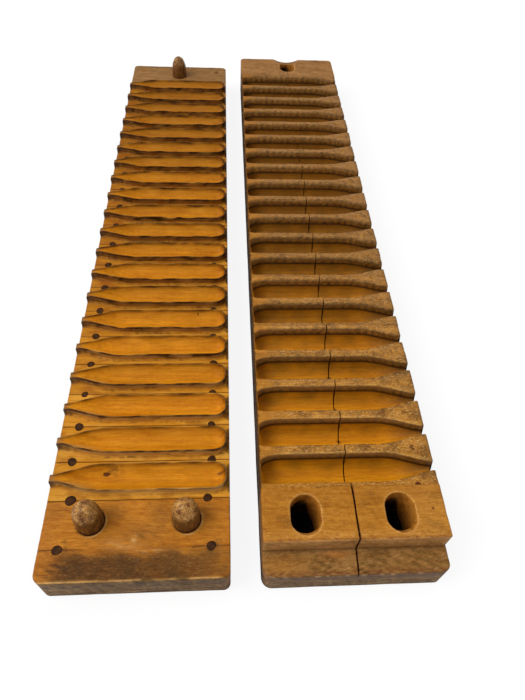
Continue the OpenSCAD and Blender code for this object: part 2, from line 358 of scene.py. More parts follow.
boardWood = makeWood("bareBoard", {
    **slatLook, "grainAxis": "y", "streakWidth": 1.2, "streakDepth": 0.6, "endDots": 0.6, "rough": 0.7,
    "deeper": (0.6, 0.55, 0.5, 1), "lighter": (1.2, 1.2, 1.2, 1),
    "pore": paint(36, 26, 20), "bare": paint(168, 140, 108),
})
pegWood = makeWood("pegEnds", {
    **slatLook, "grainAxis": "z", "streakWidth": 0.9, "streakLength": 9, "rough": 0.6, "pore": paint(30, 16, 8),
})
pinWood = makeWood("turnedPins", {
    **slatLook, "grainAxis": "z", "streakWidth": 1.3, "streakLength": 18, "poreDepth": 0.5, "rough": 0.45,
    "specular": 0.16, "bare": paint(214, 172, 104), "deeper": (0.5, 0.42, 0.3, 1),
})
print("wood finishes made")

# cigar outlines

cigar = {
    "tip": 1.5,
    "head": 29.0,
    "power": 1.45,
    "full": 7.6,
    "tipRadius": 1.5,
    "steps": 41,
    "rows": 13,
    "roundFoot": 10.0,
    "footPower": 0.75,
    "squareFoot": 12.5,
    "squareDrop": 4.6,
    "nearDrop": 1.2,
    "nearPower": 0.35,
    "stretchFrom": 60.0,
    "sidesEnd": 88.0,
}


def halfWidth(s, extra):
    # from the tip's radius to the full one with the head's share: sin(90 (s - tip) / head) to a power
    share = np.sin(np.radians(90 * np.clip((s - cigar["tip"]) / cigar["head"], 0, 1))) ** cigar["power"]
    return cigar["tipRadius"] + (cigar["full"] - cigar["tipRadius"]) * share + extra


def footTurn():
    # angles round the foot, from 0 at the far side to 180 degrees at the near side, without both ends
    return np.radians(np.linspace(0, 180, cigar["steps"])[1:-1])


def allRound(straight, sides, foot):
    # a value at each station of a rail: along one side, round the foot and back down the other side
    sides = np.broadcast_to(sides, straight.shape)
    return np.concatenate([sides, np.broadcast_to(foot, cigar["steps"] - 2), sides[::-1]])


def outwards(straight):
    # unit direction away from the cigar at each station of a rail
    turn, one = footTurn(), np.ones(len(straight))
    return np.column_stack([allRound(straight, 0, np.sin(turn)), np.concatenate([one, np.cos(turn), -one])])


def footCurve(kind, half):
    # length of the foot, and how far along and aside each of its stations lies
    turn = footTurn()
    if kind == "round":  # half ellipse whose sine and cosine are raised to a power, which squares it a little
        length, power, cosine = cigar["roundFoot"], cigar["footPower"], np.cos(turn)
        return length, length * np.sin(turn) ** power, half * np.sign(cosine) * np.abs(cosine) ** power
    # a quarter ellipse at the far corner, a much squarer one at the near corner, joined by a straight end
    length, near = cigar["squareFoot"], turn > np.pi / 2
    drop, power = np.where(near, cigar["nearDrop"], cigar["squareDrop"]), np.where(near, cigar["nearPower"], 1)
    quarter = np.clip(np.minimum(turn, np.pi - turn) * 1.5, 0, np.pi / 2)
    across = np.interp(turn, [np.pi / 3, 2 * np.pi / 3], [half - cigar["squareDrop"], cigar["nearDrop"] - half])
    aside = np.where(quarter < np.pi / 2, (half - drop * (1 - np.cos(quarter))) * np.where(near, -1, 1), across)
    return length, length * np.sin(quarter) ** power, aside


def stretched(straight, last):
    # stations of the straight part, spaced out from a place on so that they end where the foot starts
    start = cigar["stretchFrom"]
    return np.where(straight < start, straight, start + (straight - start) * ((last - start) / (straight[-1] - start)))


def cigarRail(straight, extra, end, kind):
    # outline in plan: up one side from the tip, round the foot, and back down the other side
    length, along, aside = footCurve(kind, cigar["full"] + extra)
    wide = halfWidth(straight, extra)
    return np.column_stack([allRound(straight, stretched(straight, end - length), end - length + along),
                            np.concatenate([wide, aside, -wide[::-1]])])


def edgeRail(straight, half, inset):
    # the same stations on the slat's own edge: sides, and the inner end between the eighth turns of the foot
    turn, start = np.degrees(footTurn()), cigar["sidesEnd"]
    side, last = half - inset[: len(straight)], inset[len(straight): -len(straight)]
    reach = halves["width"] - last
    eighth = np.minimum(turn, 180 - turn)
    s = np.where(eighth < 45, start + (reach - start) * eighth / 45, reach)
    v = (half - last) * np.clip((90 - turn) / 45, -1, 1)
    return np.column_stack([allRound(straight, stretched(straight, start), s), np.concatenate([side, v, -side[::-1]])])


def spineOf(rail, foot):
    # middle line below a rail, up to where the foot starts
    return np.column_stack([np.minimum(rail[:, 0], foot), 0 * rail[:, 1]])


def troughLayers(rail, radius, fullness, axis, top, foot):
    # half-round trough: the outline drawn in from rim to spine while the section falls as a squared quarter circle
    spine = spineOf(rail, foot)
    turnEnd = np.arccos(np.clip((axis - top) / radius, 0, 0.98) ** (1 / fullness))
    layers = []
    for share in np.linspace(0, 1, cigar["rows"]):
        out = np.sin(turnEnd * share) ** fullness / np.sin(turnEnd) ** fullness
        layers.append(layer(spine + out[:, None] * (rail - spine), axis - radius * np.cos(turnEnd * share) ** fullness))
    return layers


def toJoint(layers, straight, slat, top, shares):
    # the face runs out to the slat's edge and rounds over it, more at the inner end than at the joints
    inner = allRound(straight, 0, np.sin(footTurn()) ** 4)
    rounding = slat["jointRounding"] + (slat["innerRounding"] - slat["jointRounding"]) * inner
    start, flat = layers[-1][:, :2], edgeRail(straight, slat["half"], rounding)
    for share in shares:
        layers.append(layer(start + share * (flat - start), top))
    for turn in np.radians([30, 60, 90]):
        edge = edgeRail(straight, slat["half"], rounding * (1 - np.sin(turn)))
        layers.append(layer(edge, top - rounding * (1 - np.cos(turn))))
    return edge


def roundTips(surface, reach, depth, share=1.0):
    # the slat's outer end rounds off from its face down: fall = reach - sqrt(reach^2 - near^2)
    near = np.clip(reach - surface[..., 0], 0, None)
    fall = reach - np.sqrt(reach**2 - near**2)
    surface[..., 2] -= fall * np.clip((surface[..., 2] - halves["boardTop"]) / depth, 0, 1) * share


def capped(surface, middleY, keys):
    # the surface and the caps that close it at the tips: each point of a half section is joined to the middle line
    levels = np.interp(np.arange(len(surface)), keys[0], keys[1])
    patches = [surface]
    for station in (0, -1):
        rim = surface[:, station]
        middle = np.stack([rim[:, 0], np.zeros(len(rim)), levels], -1)
        middle[0], middle[-1] = rim[0], rim[-1]
        patches.append(np.stack([rim, middle], 1))
    return [grid + (0, middleY, 0) for grid in patches]


def outlineGap(s, v, extra, end, kind):
    # distance in plan from a cigar outline, taken across the grain on the straight part
    half, length = cigar["full"] + extra, cigar[kind + "Foot"]
    start = end - length
    if kind == "round":
        power = 2 / cigar["footPower"]
        along = np.clip(s - start, 0, None) / length
        foot = ((along**power + (np.abs(v) / half) ** power) ** (1 / power) - 1) * half
    else:
        along, near = np.clip((s - start) / length, 0, 1), v < 0
        drop, power = np.where(near, cigar["nearDrop"], cigar["squareDrop"]), np.where(near, 2 / cigar["nearPower"], 2)
        foot = np.maximum(np.abs(v) - half + drop * (1 - np.sqrt(1 - along**power)), s - end)
    return np.where(s < start, np.abs(v) - halfWidth(s, extra), foot)


# upper slats: raised half cigars with thin lips

upperSlat = {
    "half": 11.825,
    "cupEnd": 99.6,
    "lipEnd": 100.3,
    "lip": 0.7,
    "axis": 31.0,
    "lipTop": 30.6,
    "fillet": 1.5,
    "jointRounding": 0.3,
    "innerRounding": 0.5,
    "tipRounding": 0.8,
    "wander": 0.12,
    "lean": 0.12,
    "wear": 0.22,
    "tipWear": 0.7,
    "deepestWear": 3.2,
    "chips": {  # slat: s, which lip (-1 near, 1 far), reach, depth
        1: [(47, -1, 8, 1.1), (59, -1, 1.6, 0.9)],
        2: [(60, -1, 8, 0.6), (12, -1, 4, 0.7)],
        3: [(38, -1, 6, 0.8), (66, 1, 4, 0.5)],
        4: [(63, -1, 5, 0.8), (20, 1, 5, 0.6)],
        5: [(30, -1, 9, 0.7)],
        6: [(28, -1, 4, 0.9), (74, -1, 7, 0.6)],
        8: [(48, -1, 6, 0.8)],
        11: [(56, -1, 4, 1.0), (70, -1, 6, 0.7)],
        14: [(35, 1, 6, 0.6)],
        17: [(50, -1, 8, 0.7)],
    },
    "colours": dict(
        gold=(202, 131, 18), amber=(184, 111, 8), pale=(200, 139, 44), farCup=(164, 104, 34), russet=(150, 84, 18),
        flatGold=(196, 130, 28), flatPale=(212, 154, 58), flatDeep=(158, 96, 14), seam=(96, 48, 10), lip=(204, 144, 52),
        wallTan=(214, 160, 80), wallGrey=(208, 170, 116), line=(62, 36, 10), tip=(128, 92, 56), smudge=(96, 62, 24),
        joint=(130, 76, 18)),
}


def upperLift(s, y):
    # soft unevenness of the planed faces between the cups, none at the end blocks
    return 0.08 * waves(inPlan(s, y), (30, 7, 30), 12) * slatShare(y, 6)


def upperSlatPatches(number, middleY):
    # rows of points from the cup's spine outwards: cup, lip, outer wall, fillet, face, edge and underside
    p, top = upperSlat, halves["upperTop"]
    straight = np.concatenate([[0, 0.08, 0.25, 0.5, 0.8, 1.2, 2], np.linspace(3, 88.5, 62)])
    away = outwards(straight)
    radius = allRound(straight, halfWidth(straight, 0), cigar["full"])
    fullness = allRound(straight, 1, 1 - 0.3 * np.sin(footTurn()))
    inner, outer = cigarRail(straight, 0, p["cupEnd"], "round"), cigarRail(straight, p["lip"], p["lipEnd"], "round")
    world = layer(outer + (0, middleY), 30.0)
    # the lips wander a little and are worn down unevenly, with a few chips
    age = np.clip((number - 4) / 8, 0, 1)
    drift = p["wander"] * (1 + 0.6 * age) * waves(world, (24, 40, 40), 7) * softStep(outer[:, 0], 4, 16)
    drift = drift[:, None] * away
    wear = p["wear"] * (1 + 1.6 * age) * (0.5 + 0.5 * waves(world, (15, 30, 30), 8))
    wear = wear + 0.06 * np.abs(waves(world, (3, 6, 6), 9)) + p["tipWear"] * hump(outer[:, 0], 0, 2.2)
    for s, which, reach, depth in p["chips"].get(number, ()):
        wear = wear + depth * np.exp(-(((outer[:, 0] - s) / reach) ** 4)) * (np.sign(outer[:, 1]) == which)
    crest = p["lipTop"] - np.clip(wear, 0, p["deepestWear"])
    layers = troughLayers(inner, radius, fullness, p["axis"], crest - 0.12, p["cupEnd"] - cigar["roundFoot"])
    for grid, share in zip(layers, np.linspace(0, 1, cigar["rows"])):
        grid[:, :2] += drift * share**3
    rim, lip = layers[-1][:, :2], outer + drift
    for share, sink in ((0.25, 0.03), (0.55, 0.0), (0.85, 0.06)):
        layers.append(layer(rim + share * (lip - rim), crest - sink))
    # the lip's outer wall leans out and ends in a fillet, which is small round the foot
    lean = (p["lean"] + 0.1 * waves(world, 9, 11))[:, None]
    for share in (0, 0.15, 0.4, 0.7, 1):
        layers.append(layer(lip + lean * share * away, (crest - 0.2) * (1 - share) + (top + p["fillet"]) * share))
    fillet = p["fillet"] * allRound(straight, 1, 1 - 0.75 * np.sin(footTurn()) ** 3)[:, None]
    for turn in np.radians([22, 45, 68, 90]):
        out = lean + fillet * (1 - np.cos(turn))
        layers.append(layer(lip + out * away, top + p["fillet"] * (1 - np.sin(turn))))
    edge = toJoint(layers, straight, p, top, (0.25, 0.5, 0.75, 1))
    layers += [layer(edge, height) for height in (22, 18, halves["boardTop"])]
    layers.append(layer(spineOf(edge, cigar["sidesEnd"]), halves["boardTop"]))
    surface = np.stack(layers)
    surface[..., 2] += upperLift(surface[..., 0], surface[..., 1] + middleY) * softStep(surface[..., 2], 20, 24.5)
    # the cup's own floor rises and falls a little
    surface[:10, :, 2] += 0.1 * waves(surface[:10], (26, 6, 40), 200 + number)
    roundTips(surface, p["tipRounding"], 6)
    return capped(surface, middleY, ([0, 12, 16, 21, 25, 29, 32, 35, 36], [29, 28.4, 28, 25, 23, 21, 17, 14, 14]))


def dressUpperSlat(number, middleY, tone, s, places, normals):
    # colours of the cup, its lip, the wall below it and the face between the lips, chosen by distance and height
    c = SimpleNamespace(**upperSlat["colours"])
    aged, darker = np.clip((number - 2) / 6, 0, 1), min(number - 1, 1)
    v, z = places[:, 1] - middleY, places[:, 2]
    gap = outlineGap(s, v, upperSlat["lip"], upperSlat["lipEnd"], "round")
    long, blotch, fine, broken = swells(places, 21, (46, 4, 20), (18, 10, 20), (5, 3, 5), (13, 6, 9))
    nearSide, nearLip = softStep(-normals[:, 1], 0.1, 0.6), softStep(-v, 0.5, 2.5)
    footEnd, head = softStep(s, 90, 97), softStep(-s, -30, -4)
    inward = np.maximum(softStep(-normals[:, 1] * np.sign(v), 0.25, 0.55),
                        softStep(-normals[:, 0], 0.25, 0.55) * (s > 86))
    inCup = np.maximum(softStep(-gap, 0.8, 1.05), inward * softStep(-gap, 0.5, 0.66))
    cup = layered(
        c.gold,
        (c.amber, 0.35 + 0.4 * long + 0.2 * fine),
        (c.pale, softStep(v, 3, 7.6) * (0.5 + 0.2 * blotch)),
        (c.pale, softStep(-v, 5.2, 7.2) * (0.4 + 0.3 * blotch)),
        (c.wallGrey, head * 0.35 * softStep(-v, 0.5, 3)),
        # the foot's inner wall, which the lamp lights, painted darker: painted shade
        (c.russet, softStep(s, 93, 98) * softStep(gap, -4.5, -0.8) * 0.6 * (0.7 + 0.4 * fine)),
        (c.farCup, 0.4 * np.clip((number - 12) / 6, 0, 1) * (0.9 + 0.4 * blotch)))
    # the lip's top is painted dark as shade on the near side, on the far side and round the foot, the wall below it is
    # greyer
    dark = np.maximum(nearLip * (0.45 + 0.4 * darker + 0.3 * broken + 0.3 * head), (0.75 + 0.2 * aged) * footEnd)
    dark = np.maximum(dark, (1 - nearLip) * (0.5 + 0.25 * aged + 0.35 * broken))
    lip = layered(c.lip, (c.wallTan, nearLip * (0.5 + 0.3 * fine)), (c.line, dark))
    wall = layered(
        c.wallTan,
        (c.wallGrey, softStep(z, 26.2, 29.8) * (0.55 + 0.3 * blotch + 0.5 * head)),
        (c.russet, 0.2 + 0.6 * aged + 0.15 * blotch - 0.3 * (number == 1)),
        # the wall facing the near end is painted darker at its top, in broken patches, near the head, round the foot
        # and in the far rows: painted shade
        (c.line, softStep(z, 28.5, 29.4) * nearSide * (0.35 + 0.45 * darker + 0.35 * broken + 0.2 * head)),
        (c.line, softStep(broken + 0.4 * fine, 0.5, 1.2) * nearSide * 0.55 * (number > 1)),
        (c.line, head * nearSide * (0.45 + 0.3 * fine) + 0.7 * softStep(s, 97, 99.5)),
        (c.line, aged * nearSide * (0.35 + 0.2 * broken)))
    # between the lips: a line of painted shade at their root, dark spots along it, the joints, and a painted shadow
    # past the foot
    root = 0.3 + 0.25 * aged + 0.25 * fine + 0.2 * softStep(normals[:, 1], 0.0, 0.5)
    spots = softStep(long + 0.6 * fine + 0.5 * hump(s, 38, 22), 0.4, 1.5) * (number > 1)
    flat = layered(
        c.flatGold,
        # paler on the near side of the first two rows: painted light against the shade below the lip
        (c.flatPale, 0.25 + 0.35 * long + 0.25 * blotch + 0.35 * (number < 3) * softStep(-v, 2, 6)),
        (c.flatDeep, softStep(blotch, 0.1, 1.0) * 0.7),
        (c.russet, softStep(-s, -30, -12) * (0.15 + 0.5 * aged) * (0.7 + 0.4 * blotch)),
        (c.russet, 0.35 * np.clip((number - 6) / 8, 0, 1) * (0.8 + 0.4 * blotch)),
        # the line at the lip's root: painted shade
        (c.seam, hump(gap, 0.9, 0.45) * softStep(-z, -26.4, -25.3) * root),
        (c.line, hump(gap, 0.8, 1.1) * nearLip * 0.55 * spots),
        (c.seam, 0.85 * softStep(np.abs(v), upperSlat["half"] - 0.34, upperSlat["half"] - 0.05)),
        # dark past the foot up to the slat's inner edge: partly a dark line, partly painted shadow
        (c.line, softStep(s, 99.4, 100.6) * (0.65 + 0.2 * aged + 0.25 * fine) * (np.abs(v) < 8.5)))
    # an old smudge across the first two cups
    smudge = (number < 3) * patch(s, places[:, 1], (35, -217.2), (4.5, 3.6))
    smudge = smudge * softStep(fine + 0.5 * broken, -0.5, 0.6)
    coat = layered(
        flat,
        (wall, softStep(-gap, -0.55, -0.2) * softStep(z, 25.3, 26.4)),
        (lip, softStep(-gap, 0.02, 0.14) * softStep(z, 26.8, 28.0)),
        (cup, inCup),
        # a dark line along the far lip: painted shade
        (c.line, hump(gap, -0.6, 0.5) * (1 - nearLip) * (0.45 + 0.3 * broken + 0.2 * aged)),
        (c.smudge, 0.7 * smudge),
        (c.tip, hump(s, 0, 3.2) * 0.8 * softStep(-gap, -2.5, 0.5)),
        # the tips' faces towards the near end darker: painted shade
        (c.line, hump(s, 0, 3.5) * 0.75 * nearSide),
        (c.joint, 0.8 * softStep(-z, -24, -21)))
    grime = np.maximum(0.3 * hump(s, 0, 2.0), np.clip(0.1 * blotch, 0, 1) * softStep(gap, 0.5, 2))
    return {"coat": coat * (1 + tone + 0.05 * blotch[:, None]), "grime": grime}


# lower slats: deep pockets between rounded ridges

lowerSlat = {
    "half": 11.895,
    "scoopEnd": 100.2,
    "scoopExtra": 0.9,
    "axis": 30.4,
    "rim": 30.0,
    "pocketExtra": 1.4,
    "pocketEnd": 101.3,
    "ridgeRounding": 1.5,
    "ridgeFall": 2.4,
    "jointRounding": 0.03,
    "innerRounding": 0.45,
    "tipRounding": 1.3,
    "wallPower": 0.42,
    "wander": 0.14,
    "floorSwell": 0.12,
    "colours": dict(
        amber=(190, 120, 10), gold=(212, 142, 18), deep=(128, 86, 14), dim=(104, 68, 22), tan=(178, 122, 46),
        brown=(118, 76, 28), light=(212, 164, 90), worn=(168, 108, 28), greyTan=(140, 100, 62), greyBrown=(96, 66, 36),
        faceTop=(140, 106, 66), faceLow=(86, 60, 32), crease=(46, 26, 8), kerf=(58, 16, 4)),
}
sawCut = {
    "place": 51.0,
    "width": 0.75,
    "bottom": 19.0,
    "reach": 0.6,
}


def cutWander(y):
    # sideways wander of the saw cut along the board, in mm
    return 0.35 * np.sin(y / 31 + 0.6) + 0.25 * np.sin(y / 12.5) + 0.12 * np.sin(y / 4.1 + 1)


def cutHalf(y):
    # half the width of the saw cut, which closes up towards the far end
    return sawCut["width"] / 2 * (1 - 0.8 * softStep(y, -30, 150))


def inKerf(s, y, within):
    # 1 on the saw cut's own faces
    return 1.0 * (np.abs(s - sawCut["place"] - cutWander(y)) < sawCut["reach"]) * within


def lowerLift(s, y):
    # ridge tops dented and worn, level with the end blocks at the outermost joints
    plan = inPlan(s, y)
    dents = -0.3 + 0.14 * waves(plan, (14, 8, 14), 34) - 0.1 * np.clip(waves(plan, (5, 3, 5), 35), 0, 1)
    return dents * slatShare(y, 5)


def lowerSlatPatches(number, middleY):
    # rows of points from the pocket's spine outwards: trough, leaning wall, ridge, edge and underside
    p, rng, boardTop = lowerSlat, np.random.default_rng(300 + number), halves["boardTop"]
    half = cutHalf(middleY)
    cut = [sawCut["place"] + side * (half + gap) for side, gap in ((-1, 0.005), (-1, -0.005), (1, -0.005), (1, 0.005))]
    straight = np.concatenate([[0, 0.12, 0.35, 0.7, 1.2, 2], np.linspace(3.2, 49, 33), cut, np.linspace(53, 88.0, 26)])
    inCut = allRound(straight, np.abs(straight - sawCut["place"]) < half, False)
    away = outwards(straight)
    radius = allRound(straight, halfWidth(straight, p["scoopExtra"]), cigar["full"] + p["scoopExtra"])
    fullness = allRound(straight, 1, 1 - 0.5 * np.sin(footTurn()) ** 0.7)
    scoop = cigarRail(straight, p["scoopExtra"], p["scoopEnd"], "square")
    pocket = cigarRail(straight, p["pocketExtra"], p["pocketEnd"], "square")
    world = layer(pocket + (0, middleY), 35.0)
    drift = (p["wander"] * waves(world, (22, 40, 40), 31) * softStep(pocket[:, 0], 4, 16))[:, None]
    layers = troughLayers(scoop, radius, fullness, p["axis"], p["rim"], p["scoopEnd"] - cigar["squareFoot"])
    # worn round on the side that faces the near end, crisper on the other, and more so on the far ridges
    room = np.hypot(*(edgeRail(straight, p["half"], np.zeros(len(pocket))) - pocket).T)
    age = np.clip((number - 3) / 9, 0, 1)
    worn = 0.22 + 0.25 * age + (0.38 + 0.75 * age) * (np.clip(away[:, 1], -1, 1) * 0.5 + 0.5)
    worn = worn * (1 + 0.25 * waves(world, (30, 14, 30), 32))
    sideways = np.minimum(p["ridgeRounding"] * worn, 0.46 * room)
    fall = np.minimum(p["ridgeFall"] * worn, 2.4 * sideways + 0.3)
    low = halves["lowerTop"] - fall
    # the wall leans from the trough's rim out to the pocket's outline, then rounds over on to the ridge
    for share in (0.06, 0.14, 0.35, 0.7, 1):
        layers.append(layer(scoop + (pocket - scoop) * share ** p["wallPower"] + drift * share * away,
                            p["rim"] * (1 - share) + low * share))
    for turn in np.radians([18, 36, 54, 72, 90]):
        out = drift + sideways[:, None] * (1 - np.cos(turn))
        layers.append(layer(pocket + out * away, low + fall * np.sin(turn)))
    edge = toJoint(layers, straight, p, halves["lowerTop"], (0.33, 0.67, 1))
    surface = np.stack(layers)
    spots = surface + (0, middleY, 0)
    surface[..., 2] += lowerLift(surface[..., 0], spots[..., 1]) * softStep(surface[..., 2], 32.5, 34.8)
    below = 1 - softStep(surface[..., 2], 26, 30)
    surface[..., 2] += p["floorSwell"] * waves(spots, (28, 7, 28), 36 + number) * below
    # the saw cut: at its stations the section drops to an even floor
    share = (np.arange(len(surface)) / (len(surface) - 1.0))[:, None]
    surface[..., 1] = np.where(inCut, np.sign(surface[-1, :, 1]) * p["half"] * share, surface[..., 1])
    surface[..., 2] = np.where(inCut, sawCut["bottom"], surface[..., 2])
    sides = [layer(edge, np.where(inCut, 18.5 - k * 1.5, 30.0 - 5 * k)) for k in range(3)]
    sides += [layer(edge, boardTop), layer(spineOf(edge, cigar["sidesEnd"]), boardTop)]
    surface = np.concatenate([surface, np.stack(sides)])
    roundTips(surface, p["tipRounding"], 10, 1 + 0.25 * rng.normal())
    keys = [0, 12, 17, 22, 26, 29, 31, 32, 33], [28, 26.5, 25, 24, 22, 20, 16, 14, 14]
    patches = capped(surface, middleY, keys)
    for grid in patches:
        grid[..., 0] += cutWander(grid[..., 1]) * hump(grid[..., 0], sawCut["place"], 5)
    return patches


def blockTop(s, places):
    # upper faces of the near block, carried on over the first slat's near ridge
    long, blotch, fine = swells(places, 80, (34, 3, 20), (26, 14, 20), (6, 2.5, 5))
    return layered(
        (174, 116, 36),
        ((154, 96, 20), 0.4 + 0.35 * long + 0.3 * fine),
        ((176, 120, 48), softStep(-s, -40, -12) * 0.6),
        ((118, 74, 22), 0.35 * softStep(blotch, 0.4, 1.2)))


def dressLowerSlat(number, middleY, tone, s, places, normals):
    # colours of the pocket's floor, its walls, the ridges and the saw cut, chosen by distance and height
    c = SimpleNamespace(**lowerSlat["colours"])
    dim, aged = np.clip((number - 1) / 10, 0, 1), np.clip((number - 2) / 3, 0, 1)
    v, z = places[:, 1] - middleY, places[:, 2]
    gap = outlineGap(s, v, lowerSlat["pocketExtra"], lowerSlat["pocketEnd"], "square")
    long, blotch, fine = swells(places, 41, (46, 4, 20), (18, 10, 20), (4, 3, 4))
    facing, top, innerEnd = softStep(-normals[:, 1], -0.1, 0.5), softStep(z, 34.8, 35.4), softStep(s, 84, 97)
    scoop = layered(
        c.amber,
        (c.gold, softStep(-v, -3, 6) * 0.8 + 0.3 * long),
        # darker towards the far side, under the wall that faces the near end: painted shade
        (c.deep, softStep(v, 1.5, 7.0) * (0.6 + 0.2 * blotch)),
        # darker still in the far rows, leaving only a golden sliver on the near side: painted shade
        (c.deep, 0.3 * dim + 0.3 * blotch * dim),
        (c.dim, dim * softStep(v, -2, 4) * 0.75),
        # darker where the pocket narrows towards the tips: painted shade
        (c.faceLow, softStep(-s, -24, -4) * (0.4 + 0.35 * softStep(v, 0, 2))))
    # the wall facing the near end is painted light at the top and dark low down, darker near the tips and in older
    # rows: painted shade
    face = layered(
        c.faceLow,
        (c.faceTop, softStep(z, 30.6, 34.2) * (0.85 + 0.2 * blotch)),
        (c.crease, softStep(-s, -34, -8) * 0.45 * facing),
        (c.crease, aged * (0.35 + 0.2 * blotch + 0.15 * fine)))
    wall = layered(
        c.gold,
        (c.tan, softStep(z, 30.5, 34.5)),
        (face, facing * (0.85 + 0.15 * fine)),
        # walls facing the tips painted lighter: painted light against the shadow at the pockets' inner ends
        (c.tan, softStep(normals[:, 0], 0.3, 0.8) * 0.3))
    ridge = layered(
        c.tan,
        (c.brown, 0.35 + 0.5 * blotch + 0.35 * fine),
        (c.greyTan, 0.7 * dim),
        (c.greyBrown, dim * 0.4 * softStep(fine, 0.2, 1.0)),
        (c.light, softStep(fine, 0.2, 1.0) * 0.3 * (1 - dim)),
        # a light line along the top edge over the pocket's far wall: painted highlight
        (c.light, hump(gap, 0.5, 0.45) * softStep(v, 1, 4) * 0.5),
        (c.crease, hump(gap, 0.3, 0.55) * softStep(-v, 2, 5) * 0.7 * (0.7 + 0.5 * fine)),
        # in older rows the faces turned to the near end are painted darker: painted shade
        (c.crease, aged * softStep(facing, 0.15, 0.7) * (0.45 + 0.25 * fine)),
        (c.light, aged * 0.22 * softStep(-facing, -0.2, 0.1) * softStep(blotch, -0.6, 0.6)),
        (c.crease, aged * 0.4 * softStep(fine + 0.6 * blotch, 0.9, 1.5)),
        (c.worn, innerEnd * 0.75 * (0.8 + 0.3 * fine)),
        (blockTop(s, places), (number == 1) * softStep(-v, 7, 9)),
        (c.faceLow, 0.4 * hump(s, 0, 3)))
    kerf = inKerf(s, places[:, 1], z < 21.9)
    coat = layered(
        scoop,
        (wall, softStep(z, 29.6, 30.6)),
        # a dark crease where the trough meets the wall below the near-facing face: painted shade
        (c.crease, hump(z, 30.1, 0.8) * softStep(v, 0.0, 2.5) * 0.95),
        (ridge, top),
        # the inner side, towards the other half, painted dark: painted shadow from that half
        (c.crease, softStep(s, 101.3, 101.9) * 0.9),
        (c.faceLow, 0.75 * softStep(-z, -28, -22) * (np.abs(v) > 11) + 0.6 * softStep(-s, -0.6, -0.1)),
        (c.kerf, kerf))
    speckle = top * (0.85 + 0.25 * fine) * (1 - kerf) * (1 - 0.6 * innerEnd) * (1 - 0.35 * dim)
    grime = np.maximum(np.clip(0.12 * blotch, 0, 1) * top, 0.35 * hump(s, 0, 1.6))
    return {"coat": coat * (1 + tone), "grime": grime, "speckle": speckle}


rng = np.random.default_rng(5)
for number in range(1, halves["cigars"] + 1):
    middleY = halves["firstJoint"] + (number - 0.5) * halves["pitch"]
    name = f"{number:02d}"
    piece = addObject("cup_slat_" + name, upperSlatPatches(number, middleY), upperSide)
    dress = partial(dressUpperSlat, number, middleY, 0.06 * rng.normal() - 0.011 * number)
    finishPiece(piece, upperWood, "upper_slat_" + name, dress, upperSide)
    piece = addObject("pocket_slat_" + name, lowerSlatPatches(number, middleY), lowerSide)
    dress = partial(dressLowerSlat, number, middleY, 0.07 * rng.normal())
    finishPiece(piece, lowerWood, "lower_slat_" + name, dress, lowerSide)
print("slats made")

# end blocks and boards


def roundedOutline(box, corners, inset, counts, arc, least=0.12):
    # rectangle with rounded corners in plan, each station moved inwards by its own inset; a corner keeps a small arc
    s0, s1, y0, y1 = box
    ends = np.array([(s0, y0), (s1, y0), (s1, y1), (s0, y1), (s0, y0)], float)
    ways = np.array([(1, 0), (0, 1), (-1, 0), (0, -1), (1, 0)], float)
    insets = np.split(inset, np.cumsum([counts[0], arc, counts[1], arc] * 2)[:-1])
    pieces = []
    for k in range(4):
        # one side, then the corner at its end
        way, inwards, side, bend = ways[k], ways[k + 1], insets[2 * k][:, None], insets[2 * k + 1][:, None]
        start = ends[k] + way * np.maximum(corners[k - 1], side + least)
        stop = ends[k + 1] - way * np.maximum(corners[k], side + least)
        pieces.append(start + (stop - start) * np.linspace(0, 1, len(side))[:, None] + inwards * side)
        turn = np.radians(-90 + 90 * k + 90 * (np.arange(arc) + 1) / (arc + 1))
        reach = np.maximum(corners[k], bend + least)
        circle = np.stack([np.cos(turn), np.sin(turn)], -1)
        pieces.append(ends[k + 1] + (inwards - way) * reach + (reach - bend) * circle)
    return np.concatenate(pieces)


